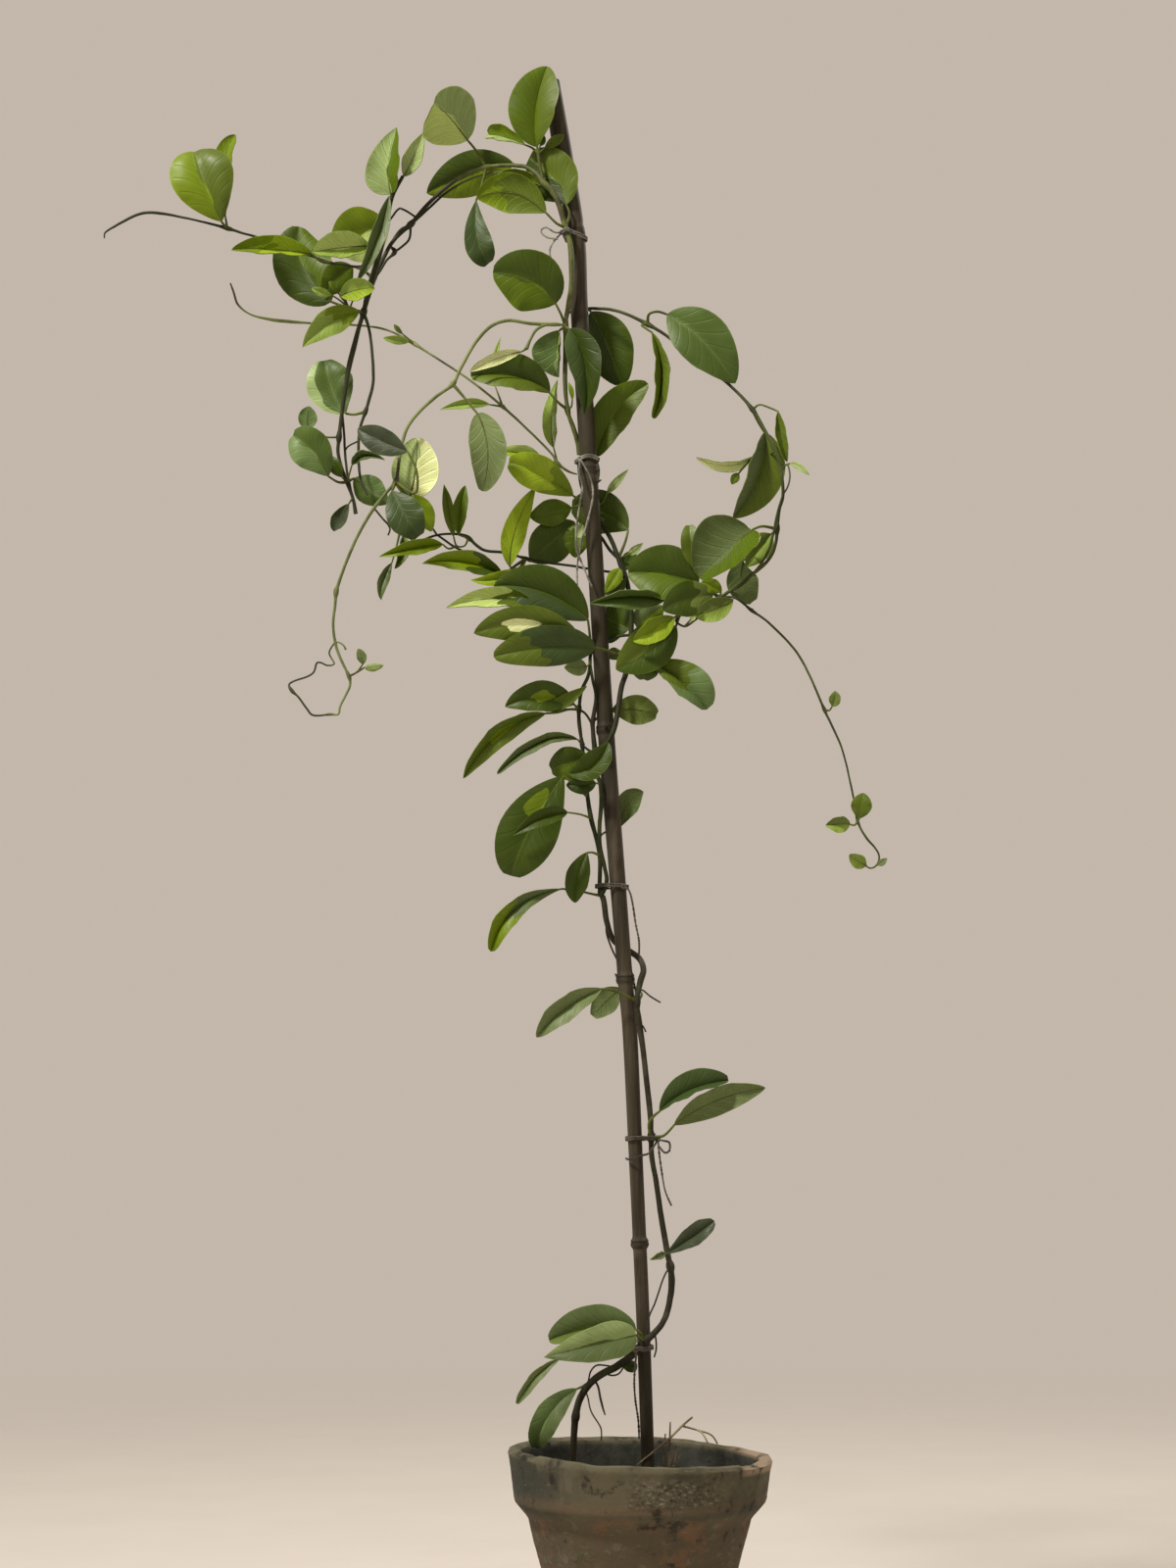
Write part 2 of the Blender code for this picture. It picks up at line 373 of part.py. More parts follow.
CROWN_LEAVES = (
    (((549.5, 157, -14),), (548, 150, -15), (546, 110, -20), (557, 66, -16), 58, 3, 45, "oval"),
    (((549.5, 157, -14), (543, 151, -11)), (536, 148, -8), (514, 140, 6), (495, 137, 18), 28, 70,
     25, "blunt"),
    (((549.5, 157, -14),), (556, 151, -16), (566, 144, -20), (575, 138, -24), 10, 10, 10, "oval"),
    (((549.5, 157, -14),), (551, 149, -16), (554, 143, -17), (553, 136, -17), 6, 5, 5, "long"),
    (((577, 232, -15), (581, 219, -13)), (577, 209, -11.5), (564, 182, -8.6), (538, 160, -5), 52,
     -14, 6, "blunt"),
    (((577, 232, -15), (568, 228, -19)), (557, 217, -20), (522, 197, -18), (486, 203, -10), 40, 5,
     5, "oval"),
    (((555, 187, -12),), (551, 189, -11), (524, 186, -6), (493, 196, 2), 28, 10, 20, "oval"),
    (((527, 169, 1),), (520, 169, 8), (481, 178, 22), (436, 197, 28), 43, 3, 0, "oval"),
    (((496, 171, 8), (492, 188, 3)), (486, 204, -1), (490, 242, -8), (501, 270, -4), 30, 12, 12,
     "spoon"),
    (((496, 171, 8), (486, 154, 4)), (476, 143, 0), (458, 119, -16), (446, 106, -34), 62, -5, -20,
     "blunt"),
    (((411, 180, -4),), (412, 180, -6), (421, 158, -12), (432, 134, -16), 24, 20, 30, "long"),
    (((400, 201, -2),), (399, 195, -4), (397, 165, -9), (405, 128, -7), 50, 5, 65, "egg"),
    (((394, 231, 0),), (394, 231, 6), (362, 240, 14), (336, 249, 18), 56, 5, 5, "round"),
    (((388, 256, 2),), (377, 251, -5), (347, 253, -16), (319, 257, -20), 34, 60, 25, "oval"),
    (((394, 231, 0),), (390, 241, -5), (381, 262, -9), (364, 286, -9), 22, 40, 45, "long"),
    (((380, 284, 6), (371, 276, 9)), (360, 272, 10), (345, 283, 10), (330, 300, 8), 30, 5, 5,
     "oval"),
    (((357, 315, 4), (346, 311, 9)), (338, 309, 13), (308, 273, 19), (305, 231, 17), 60, 3, 5,
     "round"),
    (((337, 268, -3), (328, 267, -7)), (319, 260, -10), (280, 254, -20), (236, 254, -24), 34, 75,
     15, "oval"),
    (((357, 315, 4), (352, 308, 0)), (347, 302, -6), (364, 296, -12), (382, 294, -14), 24, 10, 35,
     "oval"),
    (((357, 315, 4), (346, 306, -1)), (338, 301, -4), (328, 298, -7), (318, 294, -9), 9, 10, 20,
     "oval"),
    (((353, 307, 0),), (343, 297, -5), (340, 292, -7), (336, 287, -8), 7, 10, 20, "oval"),
    (((371, 319, 10),), (367, 318, 4), (335, 330, -6), (309, 354, -10), 29, 20, 20, "long"),
    (((232, 233, -27), (229, 230, -30)), (226, 226, -32), (207, 186, -40), (198, 149, -36), 65, 3,
     6, "round"),
    (((232, 233, -27),), (230, 221, -24), (230, 180, -17), (242, 137, -13), 24, 5, 60, "oval"),
    (((373, 420, 8), (362, 423, 12)), (351, 421, 18), (336, 396, 23), (328, 367, 21), 48, 3, 10,
     "blunt"),
    (((346, 446, 12), (333, 446, 15), (322, 441, 17)), (314, 439, 18), (314, 427, 18),
     (316, 414, 18), 19, 5, 5, "oval"),
    (((354, 492, 12), (345, 492, 7)), (335, 486, 3), (319, 461, -4), (297, 443, -5), 42, 10, 15,
     "blunt"),
    (((354, 492, 12),), (349, 487, 9), (342, 476, 8), (335, 465, 9), 14, 10, 10, "oval"),
    (((354, 492, 12), (357, 482, 6)), (359, 474, 1), (372, 463, -4), (392, 467, -10), 20, 55, 65,
     "long"),
    (((354, 492, 12),), (361, 487, 17), (377, 497, 20), (395, 511, 18), 30, 5, 5, "oval"),
    (((360, 508, 12),), (356, 514, 8), (348, 529, 3), (341, 541, 0), 16, 20, 20, "oval"),
    (((577, 333, -9), (573, 322, -14)), (567, 311, -18), (541, 284.5, -26), (505, 271, -28), 62, 5, 3,
     "round"),
    (((577, 333, -9),), (571, 337, -5), (569, 360, 0), (570, 384, 3), 52, 88, 5, "oval"),
    (((579, 418, -3), (570, 411, -8)), (561, 401, -11), (528, 385, -18), (481, 384, -22), 47, 60, 0,
     "blunt"),
    (((577, 333, -9),), (581, 336, -14), (597, 372, -24), (596, 423, -19), 40, 30, 35, "long"),
    (((579, 418, -3), (583, 415, -7)), (584, 408, -10), (583, 399, -12), (580, 390, -12), 5, 5, 5,
     "oval"),
)
PALE_LEAVES = (
    (((537, 356, -24),), (532, 359, -26), (507, 366, -33), (480, 379, -36), 13, 15, 15, "oval"),
    (((462, 392, -32), (474, 406, -35)), (487, 421, -38), (497, 457, -46), (492, 500, -44), 40, 8,
     15, "round"),
    (((404, 491, -40), (411, 501, -36)), (418, 509, -33), (424, 478, -31), (427, 446, -29), 50, 0,
     0, "round"),
    (((404, 491, -40), (415, 500, -50), (425, 502, -57), (425, 480, -60)), (416, 462, -58),
     (389, 452, -54), (364, 437, -50), 25, 10, 15, "oval"),
    (((404, 491, -40),), (400, 501, -45), (412, 524, -51), (427, 546, -51), 38, 8, 12, "blunt"),
    (((404, 491, -40), (415, 500, -40)), (424, 505, -38), (434, 522, -34), (440, 542, -31), 26, 5,
     5, "oval"),
    (((356, 690, -32), (364, 686, -34)), (370, 678, -36), (369, 670, -38), (365, 662, -39), 10, 10,
     20, "oval"),
    (((364, 686, -34),), (372, 681, -37), (381, 681, -40), (391, 679, -42), 9, 10, 20, "oval"),
)
THIN_LEAVES = (
    (((569, 473, 2),), (565, 457, 1), (563, 425, 3), (569, 387, 5), 20, -20, -60, "long"),
    (((569, 473, 2),), (552, 465, -3), (533, 460, -8), (510, 459, -11), 20, 55, 20, "oval"),
    (((513, 415, -8),), (500, 412, -11), (476, 411, -14), (449, 418, -16), 13, 55, 20, "long"),
    (((513, 415, -8), (509, 404, -5)), (506, 396, -2), (504, 375, 2), (511, 344, 3), 9, 10, 20,
     "long"),
    (((423, 351, 2),), (417, 349, -1), (405, 347, -4), (391, 345, -6), 9, 10, 20, "oval"),
    (((423, 351, 2),), (411, 341, 0), (406, 336, -2), (402, 331, -3), 5, 10, 10, "oval"),
)
LOOP_LEAVES = (
    (((600, 315, 12),), (603, 320, 16), (615, 352, 24), (635, 391, 22), 51, 5, 5, "blunt"),
    (((661, 331, -20), (662, 321, -26), (671, 318, -30)), (681, 321, -33), (718, 344, -42),
     (750, 391, -38), 57, 5, 28, "oval"),
    (((661, 331, -20), (655, 332, -26)), (666, 339, -30), (678, 383, -33), (666, 426, -30), 32, 55,
     65, "blunt"),
    (((768, 418, -42), (775, 413, -47), (785, 416, -50)), (794, 420, -52), (798, 446, -55),
     (803, 471, -54), 18, 40, 50, "oval"),
    (((768, 418, -42), (774, 431, -39)), (779, 441, -37), (775, 486, -34), (748, 528, -30), 54, 5,
     60, "oval"),
    (((791, 460, -47), (783, 465, -32)), (768, 467, -26), (743, 478, -27), (711, 467, -33), 18, 20,
     65, "oval"),
    (((768, 467, -26), (757, 479, -26)), (754, 483, -26), (750, 488, -26), (747, 494, -26), 9, 5, 5,
     "oval"),
    (((803, 474, -53),), (806, 473, -55), (815, 476, -58), (826, 485, -60), 9, 10, 10, "oval"),
    (((793, 540, -46), (778, 537, -51)), (766, 542, -54), (741, 566, -58), (714, 590, -54), 76, 66,
     0, "round"),
    (((734, 610, -23), (722, 598, -24)), (712, 583, -26), (705, 560, -30), (701, 536, -32), 28, 10,
     15, "blunt"),
    (((734, 610, -23), (724, 601, -22)), (713, 595, -21), (677, 588, -17), (641, 584, -13), 57, 35,
     3, "round"),
    (((779, 577, -40), (769, 568, -36)), (758, 572, -31), (759, 592, -27), (768, 613, -25), 34, 3,
     5, "blunt"),
    (((793, 540, -46),), (787, 545, -42), (777, 557, -39), (767, 573, -35), 20, 5, 15, "oval"),
    (((734, 610, -23),), (747, 613, -26), (729, 623, -26), (708, 628, -23), 27, 10, 15, "oval"),
    (((734, 610, -23),), (736, 604, -25), (727, 598, -27), (716, 594, -29), 15, 10, 10, "oval"),
    (((693, 628, -10), (688, 618, -14)), (679, 612, -17), (642, 609, -24), (602, 616, -26), 34, 42,
     65, "long"),
    (((693, 628, -10),), (688, 630, -15), (668, 643, -22), (646, 654, -23), 26, 20, 30, "oval"),
    (((693, 628, -10),), (691, 639, -10), (664, 662, -12), (629, 682, -12), 49, 12, 10, "oval"),
    (((699, 639, -13),), (704, 633, -16), (707, 630, -18), (710, 626, -20), 6, 10, 10, "oval"),
    (((841, 724, -52), (846, 725, -54)), (849, 721, -56), (852, 714, -58), (852, 705, -59), 13, 10,
     30, "oval"),
    (((875, 838, -57),), (877, 835, -59), (879, 822, -62), (881, 809, -63), 21, 5, 5, "oval"),
    (((875, 838, -57), (872, 842, -59)), (867, 841, -60), (856, 841, -64), (843, 842, -66), 19, 20,
     35, "oval"),
    (((880, 881, -48),), (884, 883, -49), (876, 879, -52), (867, 872, -54), 15, 10, 20, "oval"),
    (((895, 882, -50),), (896, 883, -51), (900, 880, -52), (905, 876, -53), 7, 10, 10, "oval"),
    (((734, 610, -23),), (728, 606, -24), (702, 611, -30), (677, 622, -33), 36, 5, 5, "oval"),
)


# Ties: row of the picture, the stems they hold, the column of the knot and the hanging ends
STRING_RADIUS = 0.0008
KNOT_RADIUS = 0.0019
TIE_REACH = 0.024
TIE_CORNERS = 12
TIES = (
    ("tie_low", 1376, LOWER_ROUTES[:1], 649,
     (((649, 1384, -21), (648, 1394, -19), (647.2, 1412, -15), (648.5, 1430, -14),
       (651.3, 1449, -13), (652.2, 1468, -12)),)),
    ("tie_mid", 1163, LOWER_ROUTES[:1], 671,
     (((677, 1164, -15), (683, 1166, -16), (683, 1174, -16), (678, 1176, -15), (672, 1169, -12)),
      ((673, 1180, -11), (676, 1201, -12), (679, 1216, -12), (685, 1230, -11)),
      ((663, 1176, -11), (655, 1179, -11), (647, 1182, -11), (641, 1183, -7), (639, 1182, 0)))),
    ("tie_joint", 906, MIDDLE_ROUTES[:2], 636,
     (((642, 909, -9), (645.5, 922, -11), (648.5, 942, -13), (652, 960, -14), (652, 974, -14)),)),
    ("tie_neck", 470, MIDDLE_ROUTES[2:3], 592,
     (((597, 477, -14), (603, 489, -15), (605, 506, -15), (600, 530, -14), (593, 554, -13),
       (589, 578, -12), (589, 597, -12)),
      ((591, 484, -14), (594, 498, -15), (589, 532, -14), (588, 558, -14), (596, 580, -14),
       (604, 599, -14)))),
    ("tie_top", 245, CROWN_ROUTES[:1], 572,
     (((566, 237, -22), (557, 232, -23), (552, 236, -22), (558, 242, -22), (569, 244, -21)),
      ((564, 248, -21), (561, 256, -21), (562, 265, -20)))),
)
STALK_ROUTES = (
    ((706.5, 1446, 4, 2.2), (696, 1455, 0, 2.6), (685, 1466, -3, 2.6), (672, 1477, -5, 2.2),
     (661, 1486, -5.4, 1.8), (650, 1495, -4, 1.6)),
    ((696, 1455, 0, 2.2), (711, 1459, 6, 2.0), (725.5, 1464, 12, 1.8), (732, 1473, 16, 1.6)),
    ((711, 1459, 6, 1.8), (717, 1463, 2, 1.8), (722, 1472, -2, 1.6)),
)
GRASS_ROUTES = (
    ((684, 1451, 20, 1.6), (683, 1480, 22, 2.4), (682, 1510, 24, 3.0), (682, 1534, 24, 3.0)),
    ((679, 1463, 16, 1.6), (677, 1490, 18, 1.8), (682, 1510, 24, 2.0)),
    ((690, 1474, 24, 1.6), (688, 1494, 24, 1.8), (682, 1510, 24, 2.0)),
)


def clear_the_scene():
    for thing in list(bpy.data.objects):
        bpy.data.objects.remove(thing, do_unlink=True)
    for group in list(bpy.data.collections):
        bpy.data.collections.remove(group)


def new_collection(name):
    group = bpy.data.collections.new(name)
    bpy.context.scene.collection.children.link(group)
    return group


def material(name, colour, roughness):
    made = bpy.data.materials.new(name)
    made.use_nodes = True
    finish = made.node_tree.nodes["Principled BSDF"]
    finish.inputs["Base Color"].default_value = (*colour, 1.0)
    finish.inputs["Roughness"].default_value = roughness
    finish.inputs["Metallic"].default_value = 0.0
    return made


def object_of(name, mesh, group):
    made = bpy.data.objects.new(name, mesh)
    group.objects.link(made)
    return made


def evaluated_mesh(thing):
    bpy.context.view_layer.update()
    graph = bpy.context.evaluated_depsgraph_get()
    return bpy.data.meshes.new_from_object(thing.evaluated_get(graph))


def apply_modifiers(thing):
    mesh = evaluated_mesh(thing)
    thing.modifiers.clear()
    thing.data = mesh


def weld(mesh, within=1e-6):
    shape = bmesh.new()
    shape.from_mesh(mesh)
    bmesh.ops.remove_doubles(shape, verts=shape.verts, dist=within)
    bmesh.ops.recalc_face_normals(shape, faces=shape.faces)
    bmesh.ops.triangulate(shape, faces=shape.faces)
    shape.to_mesh(mesh)
    shape.free()


def spot(x, y, depth):
    """The point seen at x, y in the picture, depth millimetres behind the pot's middle."""
    across = (x - PICTURE_MIDDLE[0]) / FOCAL_PIXELS
    up = (PICTURE_MIDDLE[1] - y) / FOCAL_PIXELS
    ray = Vector((across, math.cos(TILT) - up * math.sin(TILT), math.sin(TILT) + up * math.cos(TILT)))
    return EYE + ray * ((depth * MM - EYE.y) / ray.y)


def pixel_at(point):
    """The size of one pixel of the picture at the point's distance."""
    ahead = Vector((0, math.cos(TILT), math.sin(TILT)))
    return (point - EYE).dot(ahead) / FOCAL_PIXELS


def stake_at(height):
    """The middle and the radius of the stake at a height."""
    spots, radii = stake_spots()
    for low, high, r_low, r_high in zip(spots, spots[1:], radii, radii[1:]):
        if low.z <= height <= high.z:
            part = (height - low.z) / (high.z - low.z)
            return low.lerp(high, part), r_low + (r_high - r_low) * part
    return None, 0.0


def off_the_stake(point, radius):
    """The point, moved straight out if a stem of this radius there would touch the stake."""
    middle, stake_radius = stake_at(point.z)
    if middle is None:
        return point
    out = Vector((point.x - middle.x, point.y - middle.y, 0))
    reach = (stake_radius + radius) * CHORD_ROOM + GAP
    if out.length >= reach:
        return point
    if out.length < 1e-5:
        out = Vector((0, -1, 0))
    return Vector((middle.x, middle.y, point.z)) + out.normalized() * reach


def tube(name, points, radii, rounds, group):
    """A closed tube along the points: rounds 0 gives it four sides, 1 six and 2 eight."""
    curve = bpy.data.curves.new(name, "CURVE")
    curve.dimensions = "3D"
    curve.bevel_depth = 1.0
    curve.bevel_resolution = rounds
    curve.use_fill_caps = True
    line = curve.splines.new("POLY")
    line.points.add(len(points) - 1)
    for node, point, radius in zip(line.points, points, radii):
        node.co = (*point, 1.0)
        node.radius = radius
    wire = bpy.data.objects.new(name + "_wire", curve)
    group.objects.link(wire)
    mesh = evaluated_mesh(wire)
    bpy.data.objects.remove(wire, do_unlink=True)
    weld(mesh)
    return object_of(name, mesh, group)


def turned(name, profile, steps, group, around=(0.0, 0.0)):
    """A profile of radius and height, closed on the axis or on itself, turned about an upright line."""
    mesh = bpy.data.meshes.new(name)
    rows = [(radius, 0.0, height) for radius, height in profile]
    edges = [(k, k + 1) for k in range(len(rows) - 1)]
    if profile[0][0] > 0:
        edges.append((len(rows) - 1, 0))
    mesh.from_pydata(rows, edges, [])
    thing = object_of(name, mesh, group)
    screw = thing.modifiers.new("Turn", "SCREW")
    screw.steps = screw.render_steps = steps
    screw.use_merge_vertices = True
    screw.merge_threshold = 0.00005
    apply_modifiers(thing)
    weld(thing.data)
    thing.location = (*around, 0.0)
    return thing


def cut(thing, cutter, solver="EXACT"):
    boolean = thing.modifiers.new("Cut", "BOOLEAN")
    boolean.operation = "DIFFERENCE"
    boolean.solver = solver
    boolean.object = cutter
    apply_modifiers(thing)
    bpy.data.objects.remove(cutter, do_unlink=True)


def fuse(trunk, group, solver="MANIFOLD"):
    """Joins all the group's objects into the trunk as one body."""
    boolean = trunk.modifiers.new("Fuse", "BOOLEAN")
    boolean.operation = "UNION"
    boolean.solver = solver
    boolean.operand_type = "COLLECTION"
    boolean.collection = group
    apply_modifiers(trunk)
    for piece in list(group.objects):
        bpy.data.objects.remove(piece, do_unlink=True)
    bpy.data.collections.remove(group)
    drop_scraps(trunk.data)


def drop_scraps(mesh):
    """Keeps the largest shell only: loose scraps and sealed hollows go."""
    shape = bmesh.new()
    shape.from_mesh(mesh)
    shape.verts.ensure_lookup_table()
    left = set(shape.verts)
    shells = []
    while left:
        reach = [left.pop()]
        shell = set(reach)
        while reach:
            for edge in reach.pop().link_edges:
                for vert in edge.verts:
                    if vert in left:
                        left.discard(vert)
                        shell.add(vert)
                        reach.append(vert)
        shells.append(shell)
    keep = max(shells, key=len)
    bmesh.ops.delete(shape, geom=[v for v in shape.verts if v not in keep], context="VERTS")
    shape.to_mesh(mesh)
    shape.free()


def spread(part, belly, at_base, at_tip):
    """The half width of a blade at a part of its length, as a share of its widest."""
    if part < belly:
        return math.sin(part / belly * math.pi / 2) ** at_base
    return math.sin((1 - part) / (1 - belly) * math.pi / 2) ** at_tip


def rib_at(base, middle, tip, part):
    """A point of the rib's bow through base, middle and tip."""
    pull = middle * 2 - (base + tip) / 2
    return base * (1 - part) ** 2 + pull * (2 * part * (1 - part)) + tip * part**2


def blade_sections(row, luck):
    """The lens-shaped sections of a leaf, from its root in the stem to its tip."""
    petiole, base, middle, tip, width, left, right, outline = row
    stalk = [spot(*p) for p in petiole]
    base, middle, tip = spot(*base), spot(*middle), spot(*tip)
    belly, at_base, at_tip, ahead, hook = OUTLINES[outline]
    half = 0.5 * width * pixel_at(middle) * ROUNDING
    phase = luck.uniform(0, math.tau)
    stations = FULL_STATIONS if width > SMALL_WIDTH else SMALL_STATIONS
    small = min(1.0, width / FULL_WIDTH)
    centres = [rib_at(base, middle, tip, part) for part in stations]
    line = stalk + centres
    sections = []
    for k, centre in enumerate(line):
        along = (line[min(k + 1, len(line) - 1)] - line[max(k - 1, 0)]).normalized()
        side = along.cross(centre - EYE).normalized()
        if k < len(stalk):
            flat = line[len(stalk)] - line[-1]
            reference = (-flat).cross(line[len(stalk)] - EYE).normalized()
            side = (reference - along * reference.dot(along)).normalized()
        front = along.cross(side).normalized()
        if k < len(stalk):
            rib = PETIOLE_RADIUS * max(0.7, small)
            arms = [side * rib, side * -rib]
        else:
            part = stations[k - len(stalk)]
            share = max(spread(part, belly, at_base, at_tip), LEAST_SHARE)
            near_tip = max(0.0, (part - TIP_START) / (1 - TIP_START)) ** 2
            centre = centre - front * (hook * small * near_tip)
            arms = []
            for turn, hand in ((left, 1), (right, -1)):
                tilt = math.radians(turn)
                out = side * (hand * math.cos(tilt)) + front * math.sin(tilt)
                wave = math.sin(math.tau * WAVES_PER_BLADE * part + phase + hand) * WAVE * small
                lead = ahead * small * (near_tip if part < 0.99 else 0.0)
                away = out.cross(along) * hand
                reach = max(half * share, PETIOLE_RADIUS * 0.6)
                arms.append(out * reach + along * lead + away * wave * share)
            rib = RIB_HALF if k > len(stalk) else PETIOLE_RADIUS * 0.8
        sections.append([centre + arms[0], centre + front * rib, centre + arms[1], centre - front * rib])
    return sections


def leaf(name, row, luck, group):
    """A closed loft through a leaf's sections, its two faces split alike."""
    shape = bmesh.new()
    rings = [[shape.verts.new(p) for p in section] for section in blade_sections(row, luck)]
    for low, high in zip(rings, rings[1:]):
        for edge, rib in ((0, 1), (2, 1), (2, 3), (0, 3)):
            shape.faces.new((low[edge], low[rib], high[rib]))
            shape.faces.new((low[edge], high[rib], high[edge]))
    for ring in (rings[0], rings[-1]):
        shape.faces.new((ring[0], ring[1], ring[3]))
        shape.faces.new((ring[1], ring[2], ring[3]))
    bmesh.ops.recalc_face_normals(shape, faces=shape.faces)
    mesh = bpy.data.meshes.new(name)
    shape.to_mesh(mesh)
    shape.free()
    return object_of(name, mesh, group)


def stem_tube(name, route, group):
    points = [spot(x, y, depth) for x, y, depth, _ in route]
    radii = [max(0.5 * row[3] * pixel_at(p), THINNEST) for row, p in zip(route, points)]
    points = [off_the_stake(p, r) for p, r in zip(points, radii)]
    return tube(name, points, radii, 1 if max(radii) > SLENDER else 0, group)


def leafy_stem(name, routes, leaves, look, parts, seed):
    """One body of stems with every leaf that grows on them."""
    repeats = new_collection(name + "_repeats")
    trunk = stem_tube(name, routes[0], parts)
    for k, route in enumerate(routes[1:]):
        stem_tube(f"{name}_branch_{k}", route, repeats)
    luck = random.Random(seed)
    for k, row in enumerate(leaves):
        leaf(f"{name}_leaf_{k}", row, luck, repeats)
    fuse(trunk, repeats)
    trunk.data.materials.clear()
    trunk.data.materials.append(look)
    return trunk


def stake_rows():
    """The stake's line with the thicker rows of its joints put in, from foot to top."""
    rows = list(STAKE_LINE)
    for joint in STAKE_JOINTS:
        below = min((row for row in STAKE_LINE if row[1] >= joint), key=lambda row: row[1])
        above = max((row for row in STAKE_LINE if row[1] < joint), key=lambda row: row[1])
        for step, swell in ((6, 1.0), (0, JOINT_SWELL), (-6, 1.0)):
            part = (below[1] - joint - step) / (below[1] - above[1])
            x = below[0] + (above[0] - below[0]) * part
            width = below[2] + (above[2] - below[2]) * part
            rows.append((x, joint + step, width * swell))
    return sorted(rows, key=lambda row: -row[1])


def stake_spots():
    """The stake's middle line and radii, from its buried foot to its top."""
    rows = stake_rows()
    spots = [spot(x, y, 0) for x, y, _ in rows]
    radii = [0.5 * width * pixel_at(p) for (_, _, width), p in zip(rows, spots)]
    lean = (spots[1] - spots[0]).normalized()
    foot = spots[0] + lean * ((SOIL_TOP - STAKE_DEPTH - spots[0].z) / lean.z)
    return [foot] + spots, [radii[0]] + radii


def stake(group):
    spots, radii = stake_spots()
    made = tube("stake", spots, radii, 2, group)
    made.data.materials.append(material("bamboo", (0.045, 0.030, 0.020), 0.55))
    return made


def inside_radius(height):
    """The radius of the pot's inner wall at a height."""
    wall = inner_wall()
    for (r_low, low), (r_high, high) in zip(wall, wall[1:]):
        if low <= height <= high:
            return r_low + (r_high - r_low) * (height - low) / (high - low)
    return wall[0][0]


def inner_wall():
    return (
        (BASE_RADIUS - BODY_WALL, FLOOR_THICKNESS),
        (BODY_TOP_RADIUS - BODY_WALL + MM, POT_HEIGHT - INNER_STEP_FOOT),
        (RIM_RADIUS - RIM_WALL - MM, POT_HEIGHT - INNER_STEP_TOP),
        (RIM_RADIUS - RIM_WALL, POT_HEIGHT - LIP),
        (RIM_RADIUS - RIM_WALL + LIP, POT_HEIGHT),
    )


def chip(name, bearing, height, size, luck, group):
    """A rough lump that breaks a chip from the rim at a bearing in degrees."""
    bpy.ops.mesh.primitive_ico_sphere_add(subdivisions=1, radius=1.0)
    lump = bpy.context.object
    lump.name = name
    for vert in lump.data.vertices:
        vert.co *= luck.uniform(0.82, 1.12)
    away = math.radians(bearing)
    reach = RIM_RADIUS - 0.002
    lump.scale = size
    lump.rotation_euler = (0, 0, away)
    lump.location = (reach * math.cos(away), reach * math.sin(away), height)
    bpy.ops.object.transform_apply(location=True, rotation=True, scale=True)
    for owner in list(lump.users_collection):
        owner.objects.unlink(lump)
    group.objects.link(lump)
    return lump


def pot(group, cutters):
    outside = [
        (RIM_RADIUS - LIP, POT_HEIGHT),
        (RIM_RADIUS, POT_HEIGHT - LIP),
        (0.5 * (RIM_RADIUS + COLLAR_FOOT_RADIUS), POT_HEIGHT - 0.5 * COLLAR_HEIGHT),
        (COLLAR_FOOT_RADIUS, POT_HEIGHT - COLLAR_HEIGHT),
        (BODY_TOP_RADIUS, POT_HEIGHT - COLLAR_HEIGHT - COLLAR_CHAMFER),
        (0.5 * (BODY_TOP_RADIUS + BASE_RADIUS) + MM, 0.5 * (POT_HEIGHT - COLLAR_HEIGHT)),
        (BASE_RADIUS + MM, 2 * MM),
        (BASE_RADIUS - MM, 0.0),
        (0.0, 0.0),
    ]
    inside = [(0.0, FLOOR_THICKNESS)] + list(inner_wall())
    made = turned("pot", inside + outside, POT_STEPS, group)
    for k in range(DRAIN_HOLES):
        away = math.tau * (k + 0.25) / DRAIN_HOLES
        middle = Vector((DRAIN_CIRCLE * math.cos(away), DRAIN_CIRCLE * math.sin(away), 0))
        ends = [middle - Vector((0, 0, 5 * MM)), middle + Vector((0, 0, FLOOR_THICKNESS + 5 * MM))]
        cut(made, tube(f"drain_{k}", ends, [DRAIN_RADIUS] * 2, 2, cutters))
    # The rim stands higher on the left, where it is whole, than on the worn right
    for vert in made.data.vertices:
        high = max(0.0, (vert.co.z - (POT_HEIGHT - COLLAR_HEIGHT)) / COLLAR_HEIGHT)
        vert.co.z -= RIM_SLOPE * vert.co.x * high
    luck = random.Random(8)
    for k, (bearing, height, size) in enumerate(RIM_CHIPS):
        cut(made, chip(f"chip_{k}", bearing, height, size, luck, cutters))
    drop_scraps(made.data)
    made.data.materials.append(material("clay", (0.20, 0.135, 0.095), 0.92))
    smooth(made)
    return made


def smooth(thing, degrees=35):
    """Shades a round piece smooth, all but its sharp edges."""
    for face in thing.data.polygons:
        face.use_smooth = True
    thing.data.set_sharp_from_angle(angle=math.radians(degrees))


